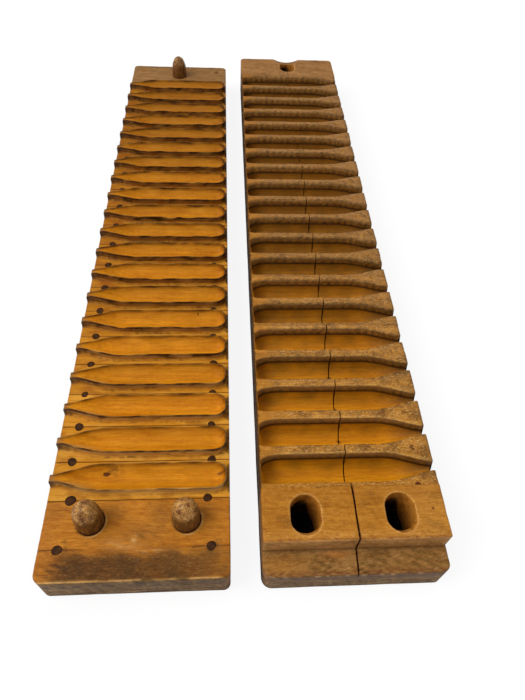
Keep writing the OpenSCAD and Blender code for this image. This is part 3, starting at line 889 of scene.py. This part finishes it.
def slabPatch(ends, heights, corners, rounding, counts, swell, bottomRounding=(0.2,) * 4, arc=7, spacing=3.0, rings=9,
              unevenness=0.0, seed=0):
    # closed slab: bottom, rounded edge, side, rounded edge and top, carried round the outline in plan; the flat faces
    # run from their rim to a middle line. Heights are those of the underside and the top, roundings are given for the
    # near, inner, far and outer sides. At the end the surface swells in and out a little (by an amount, over a size,
    # with a seed), as planed wood does
    def perStation(values):
        # each side's value, blended into the next one's round the corner between them
        parts = []
        for k in range(4):
            first, last = values[k], values[(k + 1) % 4]
            parts += [np.full(counts[k % 2], float(first)), np.linspace(first, last, arc + 2)[1:-1]]
        return np.concatenate(parts)

    box, (z0, z1) = (0, halves["width"], *ends), heights
    total = 2 * sum(counts) + 4 * arc
    over, under = perStation(rounding), perStation(bottomRounding)
    if unevenness:
        world = layer(roundedOutline(box, corners, np.zeros(total), counts, arc), z1)
        over = over * (1 + unevenness * waves(world, 22, seed) + 0.4 * unevenness * waves(world, 6, seed + 1))
    half = min(box[1] - box[0], box[3] - box[2]) / 2
    spine = roundedOutline(box, corners, np.full(total, half), counts, arc, 0)
    levels = [(under * (1 - np.sin(t)), z0 + under * (1 - np.cos(t))) for t in np.radians([0, 30, 60, 90])]
    steps = max(2, int((z1 - z0) / spacing))
    levels += [(np.zeros(total), (z0 + under) * (1 - k / steps) + (z1 - over) * k / steps) for k in range(1, steps + 1)]
    levels += [(over * (1 - np.cos(t)), z1 - over + over * np.sin(t)) for t in np.radians([22, 45, 68, 90])]
    rows = [layer(roundedOutline(box, corners, inset, counts, arc), height) for inset, height in levels]
    below, above, shares = rows[0], rows[-1], np.linspace(0, 1, rings)[1:]
    rows = [below + (layer(spine, z0) - below) * share for share in shares[::-1]] + rows
    rows += [above + (layer(spine, z1) - above) * share for share in shares]
    surface = np.stack(rows)
    surface = np.concatenate([surface, surface[:, :1]], 1)
    amount, size, first = swell
    return [surface + amount * np.stack([waves(surface, size, first + axis) for axis in range(3)], -1)]


slots = {  # places in s, span in y; slope: how far the pins have worn the near and right sides in below the rim
    "near": {"places": (25.5, 78.0), "span": (-262.2, -239.7), "radius": 8.3, "slope": (3.4, 0.55)},
    "far": {"places": (51.0,), "span": (250.7, 273.2), "radius": 8.0, "slope": (0.05, 0.25)},
    "floor": 6.0,
}
slotShapes = [(place, *slots[end]["span"], slots[end]["radius"], slots[end]["slope"])
              for end in ("near", "far") for place in slots[end]["places"]]


def slotCutter(shape, top, flare, seed, floor=slots["floor"], above=2.0):
    # long round hole: its outline is carried up from the floor, leans in below the rim where pins have worn the
    # near and right sides into a slope, and widens over a small flare at the top
    s, low, high, radius, worn = shape
    turn = np.radians(np.arange(0, 360, 7.5))
    away = np.stack([np.cos(turn), np.sin(turn)], -1)
    centre = np.where(np.sin(turn) > 1e-9, high - radius, low + radius)
    slope = worn[0] * np.clip(-np.sin(turn), 0, 1) ** 1.5 + worn[1] * np.clip(-np.cos(turn), 0, 1) ** 1.5
    levels = [(-radius, floor), (-1.2, floor), (-0.3, floor + 0.3), (0, floor + 1.2)]
    levels += [(0.0, z) for z in np.linspace(min(floor + 3, top - flare - 0.1), top - flare, 14)]
    levels += [(flare * (1 - np.cos(t)), top - flare + flare * np.sin(t)) for t in np.radians([20, 40, 60, 80])]
    levels += [(flare * 1.05, top + above), (-radius, top + above)]
    rows = []
    for grow, z in levels:
        spread = 0 * turn
        if grow > -radius:
            lean = slope * (0.75 * softStep(top - z, 0.2, 4.5) + 0.25 * softStep(top - z, 4, 26))
            spread = radius + grow + 0.12 * waves(layer(away * 8, z), 14, seed) - lean
        rows.append(layer(np.column_stack([s + away[:, 0] * spread, centre + away[:, 1] * spread]), z))
    surface = np.stack(rows)
    return [np.concatenate([surface, surface[:, :1]], 1)]


def sawCutter(low, high):
    # thin upright wall that follows the saw cut's wander
    y = np.linspace(low - 3, high + 3, 60)
    middle, bottom = sawCut["place"] + cutWander(y), sawCut["bottom"]
    section = [(0, bottom), (-1, bottom), (-1, 27), (-1.2, 40), (1.2, 40), (1, 27), (1, bottom), (0, bottom)]
    surface = np.stack([layer(np.column_stack([middle + share * cutHalf(y), y]), z) for share, z in section])
    patches = [surface]
    for end in (0, -1):
        tip = np.broadcast_to([middle[end], y[end], 25.0], (len(section), 3))
        patches.append(np.stack([surface[:, end], tip], 1))
    return patches


def slotGap(s, y):
    # distance in plan from the nearest slot's outline
    return np.minimum.reduce([np.hypot(s - place, y - np.clip(y, low + radius, high - radius)) - radius
                              for place, low, high, radius, slope in slotShapes])


def dressSlot(coat, gap, s, z, fine):
    # inside a slot: golden wood worn by the pins below a light rim, darkening with depth as painted shade and falling
    # to black as a painted shadow
    places = np.array([shape[0] for shape in slotShapes])
    aside = (s - places[np.abs(s[:, None] - places).argmin(1)]) / slots["near"]["radius"]
    # on the side away from the middle the golden wall goes down almost to the floor; on the other side the painted
    # black shadow starts much higher
    # depth: the height below which the slot is painted black as shadow
    depth = 9.5 + 19 * softStep(aside, -0.85, -0.1)
    inside = layered(
        (186, 124, 46),
        ((136, 80, 20), 0.4 + 0.5 * fine),
        # darker lower down: painted shade
        ((126, 72, 16), softStep(-z, -33, -18) * 0.8),
        ((6, 3, 2), softStep(depth - z, 0, 1.6)))
    return layered(coat, ((208, 160, 96), hump(gap, 0.4, 0.4) * 0.45), (inside, softStep(-gap, -0.35, -0.05) * (z > 4)))


nearBlock = {
    "back": -235.51,
    "step": -265.5,
    "ledgeHeight": 22.5,
    "thickFrom": 20.0,
    "flare": 0.7,
    "ledge": dict(corners=(6.5, 0.3, 0.3, 4.5), rounding=(0.9, 1.2, 0.3, 0.9), counts=(110, 30), rings=14,
                  unevenness=0.4, seed=50, swell=(0.08, 25, 60)),
    "thick": dict(corners=(1.4, 0.3, 0.3, 1.0), rounding=(0.9, 1.0, 0.03, 0.9), counts=(110, 30), rings=14,
                  spacing=1.2, unevenness=0.4, seed=52, swell=(0.08, 25, 63)),
}
nearEnd, farEnd, lowerTop = halves["nearEnd"], halves["farEnd"], halves["lowerTop"]
ledge = slabPatch((nearEnd, nearBlock["back"]), (halves["boardTop"], nearBlock["ledgeHeight"]), **nearBlock["ledge"])
thick = slabPatch((nearBlock["step"], nearBlock["back"]), (nearBlock["thickFrom"], lowerTop), **nearBlock["thick"])
piece = addObject("slot_block", ledge, lowerSide)
carve(piece, thick, lowerSide, "UNION")
for shape in slotShapes[:2]:
    carve(piece, slotCutter(shape, lowerTop, nearBlock["flare"], 70), lowerSide)
carve(piece, sawCutter(nearEnd, nearBlock["back"]), lowerSide)


def dressNearBlock(s, places, normals):
    # colours of the block's top, the finger ledge, the step's wall and the worn strip along the near edge
    y, z, step = places[:, 1], places[:, 2], nearBlock["step"]
    blotch, fine = swells(places, 81, (26, 14, 20), (6, 2.5, 5))
    slanted = waves(np.stack([s + 2.2 * y, y - 0.45 * s, z], -1), (26, 2.0, 20), 84)
    gap, low, face = slotGap(s, y), softStep(-z, -25, -23), softStep(-normals[:, 1], 0.4, 0.85)
    top = layered(
        blockTop(s, places),
        ((190, 134, 62), hump(y, step + 2, 3.0) * (0.35 + 0.4 * fine)),
        ((122, 64, 30), hump(y, step + 0.5, 0.8) * (0.45 + 0.4 * fine)))
    ledgeCoat = layered(
        (150, 108, 58),
        ((104, 74, 34), 0.4 + 0.6 * slanted + 0.2 * fine),
        ((160, 108, 44), patch(s, y, (92, -274), (12, 5)) * 0.8),
        ((176, 112, 50), patch(s, y, (62, -268.5), (7, 1.6)) * 0.9),
        ((150, 112, 74), hump(y, step - 0.8, 1.2) * 0.4),
        ((112, 58, 34), hump(y, nearEnd + 1.2, 1.0) * (0.5 + 0.4 * fine)))
    wall = layered(
        (176, 128, 76),
        ((136, 96, 52), 0.4 + 0.35 * blotch + 0.25 * fine),
        ((196, 144, 84), hump(z, 35.2, 0.5) * 0.5))
    strip = layered(
        (110, 78, 44),
        ((74, 48, 24), 0.5 + 0.5 * fine),
        ((196, 158, 112), hump(z, 21.9, 0.5) * softStep(fine, 0.0, 0.8) * 0.7))
    coat = layered(
        top,
        (ledgeCoat, low),
        (wall, face * (z > 22.3)),
        (strip, softStep(-y, 278.0, 279.0) * softStep(-z, -22.6, -21.8)),
        # a dark line along the foot of the step's wall: painted shade in the corner
        ((84, 56, 26), 0.6 * hump(z, 22.6, 0.7) * hump(y, step, 0.9)),
        # the side facing the other half painted darker: painted shadow from that half
        ((122, 80, 34), softStep(-normals[:, 0], 0.6, 0.9) * 0.9),
        ((128, 88, 44), softStep(normals[:, 0], 0.6, 0.9) * 0.7 * (gap > 1)),
        ((70, 24, 8), inKerf(s, y, np.abs(normals[:, 0]) > 0.6) * 0.9))
    return {
        "coat": dressSlot(coat, gap, s, z, fine),
        "grime": (np.clip(0.16 * blotch, 0, 1) + low * 0.12 * np.clip(slanted, 0, 1)) * (gap > 0.5),
        "scuff": low * (1 - face) * (0.7 + 0.4 * blotch),
        "speckle": (1 - low) * (0.3 + 0.35 * softStep(-y, -step - 8, -step)) + 0.2 * low,
    }


finishPiece(piece, blockWood, "lower_near_block", dressNearBlock, lowerSide, 42)

farBlock = {
    "front": 240.51,
    "flare": 0.8,
    "dishRadius": 30.0,
    "dishDepth": 3.6,
    "slab": dict(corners=(0.3, 4, 4, 0.3), rounding=(0.03, 0.8, 1.2, 0.8), counts=(72, 26), unevenness=0.4, seed=54,
                 swell=(0.08, 25, 66)),
}
block = slabPatch((farBlock["front"], farEnd), (halves["boardTop"], lowerTop), **farBlock["slab"])
piece = addObject("far_slot_block", block, lowerSide)
carve(piece, slotCutter(slotShapes[2], lowerTop, farBlock["flare"], 71), lowerSide)
# the worn dish is the foot of a ball that stands on the block's far edge
turn, tilt = np.meshgrid(np.radians(np.arange(0, 361, 5)), np.radians(np.linspace(-90, 90, 61)))
reach = farBlock["dishRadius"]
dish = np.stack([halves["width"] / 2 + reach * np.cos(tilt) * np.cos(turn),
                 farEnd + reach * np.cos(tilt) * np.sin(turn),
                 lowerTop + reach - farBlock["dishDepth"] + reach * np.sin(tilt)], -1)
carve(piece, [dish], lowerSide)
carve(piece, sawCutter(farBlock["front"], farEnd), lowerSide)


def dressFarBlock(s, places, normals):
    # greyer than the near block, darker towards the board and in the saw cut
    y, z = places[:, 1], places[:, 2]
    long, blotch, fine = swells(places, 85, (30, 3, 20), (22, 12, 20), (6, 2.5, 5))
    coat = layered(
        (160, 114, 64),
        ((128, 86, 42), 0.4 + 0.4 * long + 0.2 * fine),
        ((108, 72, 34), 0.5 * hump(y, farBlock["front"], 1.6) + 0.35 * softStep(blotch, 0.2, 1.0)),
        ((104, 70, 34), softStep(-z, -35, -31) * 0.7),
        ((70, 24, 8), inKerf(s, y, np.abs(normals[:, 0]) > 0.6) * 0.9))
    coat = dressSlot(coat, slotGap(s, y), s, z - 2, fine)
    return {"coat": coat, "grime": np.clip(0.2 * blotch, 0, 1), "speckle": 0.4}


finishPiece(piece, blockWood, "lower_far_block", dressFarBlock, lowerSide, 42)

pins = {
    "radius": 7.5,
    "foot": 8.0,
    "top": 45.5,
    "places": {"near_left": (25.5, -247.5), "near_right": (78.0, -247.5), "far": (51.0, 258.5)},
    "domes": {"near_left": 11.0, "near_right": 11.0, "far": 14.5},
}
nearPins = [pins["places"][name] for name in ("near_left", "near_right")]
upperEnds = {  # name: node, ends in y, rounding of the near, inner, far and outer side, corners from near inner on
    "end_slat_near": ("upper_near_end_slat", (-279.5, -262.705), (1.3, 0.9, 0.04, 0.9), (4, 0.3, 0.3, 5)),
    "pin_slat_near": ("upper_pin_block", (-262.695, -235.575), (0.04, 0.9, 0.3, 0.9), (0.3,) * 4),
    "pin_slat_far": ("upper_far_block", (240.575, 267.095), (0.3, 0.9, 0.04, 0.9), (0.3,) * 4),
    "end_slat_far": ("upper_far_end_slat", (267.105, 279.5), (0.04, 0.9, 1.1, 0.9), (0.3, 4, 4, 0.3)),
}
# the first three spots, beside the pins, are painted pin shadows, partly grime; the rest are smudge marks
pinShadowsAndSmudges = [  # beside the pins, a blotch between them and a few rubbed spots: place and reach in s and y, depth
    ((39, -241.5), (5, 5), 0.35), ((64, -244), (6, 8), 0.6), ((89, -242), (4, 4), 0.25), ((54, -256), (10, 6), 0.65),
    ((9, -241), (7, 4), 0.35), ((33, -258), (10, 4), 0.3)]
palePatches = [
    ((50.2, -257.6), (1.6, 2.0), 0.85), ((45, -262), (8, 1.6), 0.35), ((60, -264.5), (7, 1.2), 0.35),
    ((40, -259), (5, 2), 0.25)]


def dressUpperEnd(s, places, normals):
    # one coat for all four end slats: painted pin shadows and smudge marks, a dark band at the near end, rings round
    # the pins, joint lines
    y, z = places[:, 1], places[:, 2]
    long, blotch, fine, rubbed, thin = swells(
        places, 91, (40, 5, 20), (24, 14, 20), (6, 2.5, 5), (17, 9, 9), (26, 1.6, 20))
    band = softStep(-y + 1.6 * blotch + 0.5 * fine + 0.06 * np.abs(s - 50), 261.5, 270)
    band = band * softStep(s + 2 * fine, 1, 18) * (1 - 0.4 * softStep(s, 86, 99))
    coat = layered(
        (182, 116, 32),
        ((162, 96, 18), 0.4 + 0.4 * long + 0.25 * fine),
        ((190, 130, 50), 0.3 * softStep(thin, 0.1, 1.0)),
        ((150, 92, 30), 0.5 * softStep(-s, -14, -2)),
        # painted pin shadows beside the pins, and smudge marks
        *[((124, 82, 32), depth * patch(s, y, place, reach) * (0.9 + 0.35 * fine)) for place, reach, depth in pinShadowsAndSmudges],
        ((108, 68, 24), band * 0.95),
        ((76, 46, 16), band * softStep(-y, 263, 272) * softStep(-s, -96, -50) * (0.75 + 0.2 * fine + 0.2 * blotch)),
        *[((214, 166, 104), depth * patch(s, y, place, reach) * softStep(fine, -1.2, 0.4))
          for place, reach, depth in palePatches])
    for pinS, pinY in nearPins:
        # a thin pale crescent round the right and near side of each pin, and a thin dark ring of painted shade in the
        # gap round it
        ring = np.hypot(s - pinS, y - pinY)
        facing = softStep(((s - pinS) * 0.8 - (y - pinY) * 0.6) / np.maximum(ring, 1), 0.1, 0.8)
        coat = layered(coat, ((70, 44, 18), hump(ring, 7.9, 0.45) * 0.8),
                       ((204, 158, 98), hump(ring, 8.7, 0.4) * facing * 0.8))
    # the joint lines show towards both ends and fade in the middle
    shown = 0.9 * (1 - softStep(s, 16, 30) * softStep(-s, -86, -76))
    side = softStep(np.abs(normals[:, 1]), 0.5, 0.85)
    outer = [hump(y, halves["firstJoint"] - 0.05, 0.3), hump(y, halves["lastJoint"] + 0.05, 0.3)]
    farTop = blend((146, 108, 64), (116, 82, 44), 0.45 + 0.4 * long + 0.2 * fine)
    endFace = blend((116, 86, 48), (64, 44, 24), 0.5 + 0.6 * fine)
    edge = hump(y, -279.1, 0.5) * hump(z, 24.6, 0.6) * softStep(rubbed, -0.9, 0.1)
    coat = layered(
        coat,
        *[((86, 46, 12), hump(y, joint, 0.4) * shown) for joint in halves["endJoints"]],
        ((92, 50, 14), outer[0] * 0.8 + outer[1] * 0.8),
        (farTop, softStep(y, 238, 241) * 0.95),
        ((40, 30, 24), 0.55 * hump(y, 280, 4.5) * (0.7 + 0.5 * blotch) * (s < 90)),
        (endFace, side * (np.abs(y) > 279)),
        ((120, 78, 28), softStep(np.abs(normals[:, 0]), 0.6, 0.9) * 0.8),
        ((222, 172, 104), edge * 0.9))
    grime = np.clip(0.15 * blotch, 0, 1) + 0.25 * band
    return {"coat": coat, "grime": grime, "scuff": 0.35 * side + 0.25 * band, "speckle": 0.14 + 0.08 * band}


for index, (name, (node, ends, rounding, corners)) in enumerate(upperEnds.items()):
    slab = slabPatch(ends, (halves["boardTop"], halves["upperTop"]), corners, rounding, (140, 32),
                     (0.05, 25, 110 + index), rings=20, unevenness=0.3, seed=100 + index)
    piece = addObject(name, slab, upperSide)
    if node == "upper_pin_block":
        for pinS, pinY in nearPins:
            # the seats are a little larger than the pins, to the right and near side
            seat = (pinS + 0.2, pinY - 7.9, pinY + 7.55, 7.7, (0.0, 0.0))
            carve(piece, slotCutter(seat, halves["upperTop"], 0.25, 120, floor=23.2, above=1.0), upperSide)
    finishPiece(piece, blockWood, node, dressUpperEnd, upperSide, 42)
print("end blocks made")


def dressBoard(side, dark, s, places, normals):
    # long sides, end grain in layers, painted shade on the inner edge and at the foot, and the slots' floors in the
    # lower board, painted black as shadow
    y, z = places[:, 1], places[:, 2]
    long, blotch, fine = swells(places, 130, (12, 60, 4), (30, 30, 12), (5, 7, 3))
    layers = waves(places, (34, 30, 1.6), 134)
    end = softStep(np.abs(normals[:, 1]), 0.6, 0.85)
    ends = layered(
        (156, 124, 88),
        ((84, 64, 44), 0.45 + 0.6 * layers + 0.35 * fine),
        ((54, 42, 34), softStep(-z, -5, -1) * 0.6))
    coat = layered(
        (124, 92, 60),
        ((92, 64, 38), 0.5 + 0.4 * long + 0.3 * blotch),
        (ends, end),
        # the inner edge darkened: a painted shadow from the other half
        ((44, 28, 14), dark * softStep(s, 101, 102)),
        # the bottom 1.2 mm darkened: painted shade where the board meets the floor
        ((40, 32, 26), 0.5 * softStep(-z, -1.2, 0)),
        ((182, 144, 100), hump(z, 13.7, 0.6) * 0.5 * softStep(fine, 0.0, 0.8) * end))
    # the slots' floors come out black: painted shadow
    if side == lowerSide:
        coat = dressSlot(coat, slotGap(s, y) - 0.6, s, np.where(z < 13.9, z, 4), fine)
    grime = np.clip(0.15 + 0.2 * blotch, 0, 1)
    return {"coat": coat, "grime": grime, "speckle": 0.3 * end, "ends": end, "scuff": 0.4 * end}


# the last value sets how dark the painted shadow on the board's inner edge is
boards = {  # name: node, side, corners, how dark its inner edge is
    "upper_board": ("upper_base_board", upperSide, (4, 4, 4, 5), 0.5),
    "lower_board": ("lower_base_board", lowerSide, (6, 4, 4, 4.5), 0.95),
}
for name, (node, side, corners, dark) in boards.items():
    slab = slabPatch((nearEnd, farEnd), (0, halves["boardTop"]), corners, (0.4,) * 4, (56, 160), (0.06, 30, 140),
                     bottomRounding=(2.2, 1.5, 1.5, 1.5), spacing=1.6, rings=6)
    piece = addObject(name, slab, side)
    if side == lowerSide:
        for shape in slotShapes:
            carve(piece, slotCutter(shape, lowerTop, nearBlock["flare"], 70), side)
    finishPiece(piece, boardWood, node, partial(dressBoard, side, dark), side, 42)
print("boards made")

# pegs and pins

pegs = {
    "inset": 10.5,
    "firstInset": 12.5,
    "seat": 6.0,
    "uneven": 0.08,
}


def upperHeight(s, y):
    # height of the upper half's face beside the lips, with their fillets
    v, inSlats = acrossSlat(y)
    gap = outlineGap(s, v, upperSlat["lip"] + 0.12, upperSlat["lipEnd"], "round")
    fillet = upperSlat["fillet"]
    up = fillet - np.sqrt(np.clip(fillet**2 - (fillet - np.clip(gap, 0, fillet)) ** 2, 0, None))
    return halves["upperTop"] + upperLift(s, y) + np.where(inSlats, up, 0)


def lowerHeight(s, y):
    # height of the ridges: their rounded flanks fall away towards the pockets
    v, inSlats = acrossSlat(y)
    gap = outlineGap(s, v, lowerSlat["pocketExtra"], lowerSlat["pocketEnd"], "square")
    share = np.clip(1 - gap / lowerSlat["ridgeRounding"] / 0.6, 0, 1)
    fall = lowerSlat["ridgeFall"] * 0.6 * (1 - np.sqrt(1 - share**2))
    return lowerTop + lowerLift(s, y) - np.where(inSlats, fall, 0)


def pegPatch(s, y, radius, top, proud, seed):
    # upright round: rings from the middle of its face to the rim, over a small edge and down the side
    turn, low = np.radians(np.arange(0, 361, 15)), halves["boardTop"] - pegs["seat"]
    wobble = 1 + 0.05 * np.sin(2 * turn + seed) + 0.03 * np.sin(3 * turn + 2 * seed)
    rows = []
    for share in (0, 0.3, 0.55, 0.75, 0.9, 1.0):
        ring = np.column_stack([s + radius * share * wobble * np.cos(turn), y + radius * share * wobble * np.sin(turn)])
        rows.append(layer(ring, top(*ring.T) + proud - 0.05 * (share > 0.95)))
    rows += [layer(ring, low + 2), layer(ring, low), layer(0 * ring + (s, y), low)]
    grid = np.stack(rows)
    grid[:, -1] = grid[:, 0]
    return grid


def pegSet(side, radius, top, endJoints, proud, seed):
    # two pegs on every joint line, at an inset from both edges, each a little off in place and size
    rng = np.random.default_rng(seed)
    joints = [halves["firstJoint"] + joint * halves["pitch"] for joint in range(halves["cigars"] + 1)] + [*endJoints]
    insets = [pegs["firstInset"]] + [pegs["inset"]] * (len(joints) - 1)
    places = [(s, y) for y, inset in zip(joints, insets) for s in (inset, halves["width"] - inset)]
    patches = []
    for index, (s, y) in enumerate(places):
        size = radius * (1 + pegs["uneven"] * rng.normal())
        if side == upperSide and index == 0:
            size = radius * 1.2
        # the lower half's inner pegs are worn level and don't show
        level = proud if side == upperSide or s < 40 else -0.12
        patches.append(pegPatch(s + 0.3 * rng.normal(), y + 0.2 * rng.normal(), size, top, level, 7 * rng.random()))
    return patches, places


def dressPegs(centres, side, radius, s, points, normals):
    # dark ends with a darker rim, by the distance from the nearest peg's middle
    y, fine = points[:, 1], waves(points, (2.4, 2.4, 2.4), 151)
    away = np.hypot(*(np.stack([s, y])[..., None] - np.array(centres).T[:, None])).min(1)
    if side == lowerSide:
        # on the lower half only the outer pegs of the first joints are dark, the others match the ridges
        joint = np.round((y - halves["firstJoint"]) / halves["pitch"])
        shown = np.interp(joint, [0, 1, 2, 3, 8], [1.0, 0.75, 0.4, 0.25, 0.1]) * (s < 40)
        coat = layered((178, 124, 48), ((142, 92, 32), 0.5 + 0.5 * fine),
                       ((84, 40, 16), shown * softStep(-away, -radius, -radius * 0.75)))
        return {"coat": coat, "speckle": 1 - shown}
    faded = 0.5 * softStep(y, 20, 160) + 0.5 * (y > 255) * (s < 50)
    return {"coat": layered(
        (74, 42, 18),
        ((50, 30, 14), 0.5 + 0.5 * fine),
        ((140, 96, 44), faded),
        ((36, 20, 8), 0.8 * softStep(away, radius * 0.7, radius * 0.95) * (1 - faded)))}


for node, side, radius, top, joints, proud, seed in (
        ("upper_pegs", upperSide, 2.5, upperHeight, halves["endJoints"], 0.13, 11),
        ("lower_pegs", lowerSide, 2.1, lowerHeight, (), 0.03, 12)):
    patches, places = pegSet(side, radius, top, joints, proud, seed)
    piece = addObject(node[:5] + "_peg_ends", patches, side)
    finishPiece(piece, pegWood, node, partial(dressPegs, places, side, radius), side)


def pinPatch(s, y, dome, seed):
    # turned pin: radius against height, a quarter ellipse over the shoulder, dented and worn
    radius, foot, shoulder = pins["radius"], pins["foot"], pins["top"] - dome
    turn = np.radians(np.arange(0, 361, 6))
    circle = np.stack([np.cos(turn), np.sin(turn)], -1)
    section = [(0, foot), (radius, foot)] + [(radius, z) for z in np.linspace(foot + 1, shoulder, 22)]
    section += [(radius * np.cos(t) ** 0.9, shoulder + dome * np.sin(t)) for t in np.radians(np.linspace(5, 90, 18))]
    surface = np.stack([layer((s, y) + reach * circle, z) for reach, z in section])
    dent = 0.12 * waves(surface, (5, 5, 9), seed) - 0.2 * np.clip(waves(surface, (9, 9, 6), seed + 1), 0, 1)
    away = (surface[..., :2] - (s, y)) / radius
    surface[..., :2] += away * (dent * softStep(surface[..., 2], 26, 29))[..., None]
    surface[..., 2] += np.where(surface[..., 2] > 40, -0.25 + 0.15 * waves(surface, 6, seed + 2), 0)
    surface[:, -1] = surface[:, 0]
    surface[-1] = surface[-1, :1]
    return surface


def dressPin(s, places, normals):
    # a dark shaft with grain drawn along it, under a lighter crown that is partly rubbed and partly painted light, with
    # painted highlights on it and painted shade at the pin's foot
    z = places[:, 2]
    blotch, fine, drawn = swells(places, 161, (6, 6, 8), (2.2, 2.2, 3), (2.0, 2.0, 14))
    crown = softStep(z + 1.2 * blotch, 36.0, 41)
    cap = layered(
        (176, 124, 60),
        ((102, 58, 24), 0.5 + 0.8 * fine + 0.5 * blotch),
        ((112, 78, 44), 0.8 * (places[:, 1] > 0)),
        # pale flecks on the crown: painted highlights
        ((220, 174, 108), softStep(fine - 0.4 * blotch, 0.35, 1.1) * 0.8))
    coat = layered(
        (122, 78, 32),
        ((78, 46, 18), 0.5 + 0.4 * drawn + 0.3 * blotch),
        (cap, crown),
        # a dark ring where the pin enters its seat: painted shade
        ((64, 38, 14), 0.7 * hump(z, 24.8, 1.2)))
    return {"coat": coat, "grime": np.clip(0.15 * blotch, 0, 1), "speckle": 0.4 * crown + 0.15}


for name, (s, y) in pins["places"].items():
    piece = addObject("pin_" + name, [pinPatch(s, y, pins["domes"][name], 170 + len(name))], upperSide)
    finishPiece(piece, pinWood, "guide_pin_" + name, dressPin, upperSide)
print("pegs and pins made")

# floor, light and camera

studio = {
    "floorHalf": 6.0,
    "floorHeight": -0.0004,
    "sky": 0.58,
    "lamps": [  # place, size, power
        ((-1.3, -0.35, 1.7), 1.5, 38),
        ((0.4, 1.2, 1.9), 1.8, 6),
    ],
}
far, height = studio["floorHalf"], studio["floorHeight"]
floor = bpy.data.objects.new("floor", bpy.data.meshes.new("floor"))
floor.data.from_pydata([(-far, -far, height), (far, -far, height), (far, far, height), (-far, far, height)], [],
                       [(0, 1, 2, 3)])
bpy.context.scene.collection.objects.link(floor)
paper = bpy.data.materials.new("paleFloor")
tree = clearTree(paper)
# seen by the camera the paper is mostly white, so that only a soft shadow is left on it
lit = addNode(tree, "ShaderNodeBsdfDiffuse", {"Color": (0.93, 0.93, 0.93, 1), "Roughness": 0.9})
glow = addNode(tree, "ShaderNodeEmission", {"Color": (1, 1, 1, 1), "Strength": 1.0})
seen = sums(tree, "MULTIPLY", addNode(tree, "ShaderNodeLightPath").outputs["Is Camera Ray"], 0.88)
either = addNode(tree, "ShaderNodeMixShader", {0: seen, 1: lit.outputs[0], 2: glow.outputs[0]})
addNode(tree, "ShaderNodeOutputMaterial", {0: either.outputs[0]})
floor.data.materials.append(paper)

world = bpy.data.worlds.new("studio")
bpy.context.scene.world = world
tree = clearTree(world)
light = addNode(tree, "ShaderNodeBackground", {"Color": (1, 1, 1, 1), "Strength": studio["sky"]})
white = addNode(tree, "ShaderNodeBackground", {"Color": (1, 1, 1, 1), "Strength": 1.0})
seen = addNode(tree, "ShaderNodeLightPath").outputs["Is Camera Ray"]
either = addNode(tree, "ShaderNodeMixShader", {0: seen, 1: light.outputs[0], 2: white.outputs[0]})
addNode(tree, "ShaderNodeOutputWorld", {0: either.outputs[0]})


def stand(name, thing, place, right, up):
    # puts a lamp or a camera at a place; it looks against right x up
    holder = bpy.data.objects.new(name, thing)
    bpy.context.scene.collection.objects.link(holder)
    turned = Matrix(np.stack([right, up, np.cross(right, up)], 1).tolist()).to_4x4()
    holder.matrix_world = Matrix.Translation(place) @ turned
    return holder


for place, size, power in studio["lamps"]:
    lamp = bpy.data.lights.new("softbox", "AREA")
    lamp.shape, lamp.size, lamp.energy = "DISK", size, power
    back = np.array(place) / np.linalg.norm(place)
    right = np.cross((0, 0, 1), back)
    right /= np.linalg.norm(right)
    stand("softbox", lamp, place, right, np.cross(back, right))

view = {"place": (-0.00961, -0.3644, 0.32595), "heading": 5.958, "pitch": 51.848, "roll": 4.250, "focalPixels": 554.71,
        "pixels": 700, "sensor": 36.0}
heading, pitch, roll = (math.radians(view[key]) for key in ("heading", "pitch", "roll"))
right = np.array([math.cos(heading), -math.sin(heading), 0])
ahead = np.array([math.sin(heading) * math.cos(pitch), math.cos(heading) * math.cos(pitch), -math.sin(pitch)])
above = np.cross(right, ahead)
lens = bpy.data.cameras.new("camera")
lens.sensor_width, lens.lens = view["sensor"], view["focalPixels"] / view["pixels"] * view["sensor"]
lens.clip_start, lens.clip_end = 0.01, 30
bpy.context.scene.camera = stand("camera", lens, view["place"], math.cos(roll) * right + math.sin(roll) * above,
                                 math.cos(roll) * above - math.sin(roll) * right)
bpy.context.scene.view_settings.view_transform = "Standard"
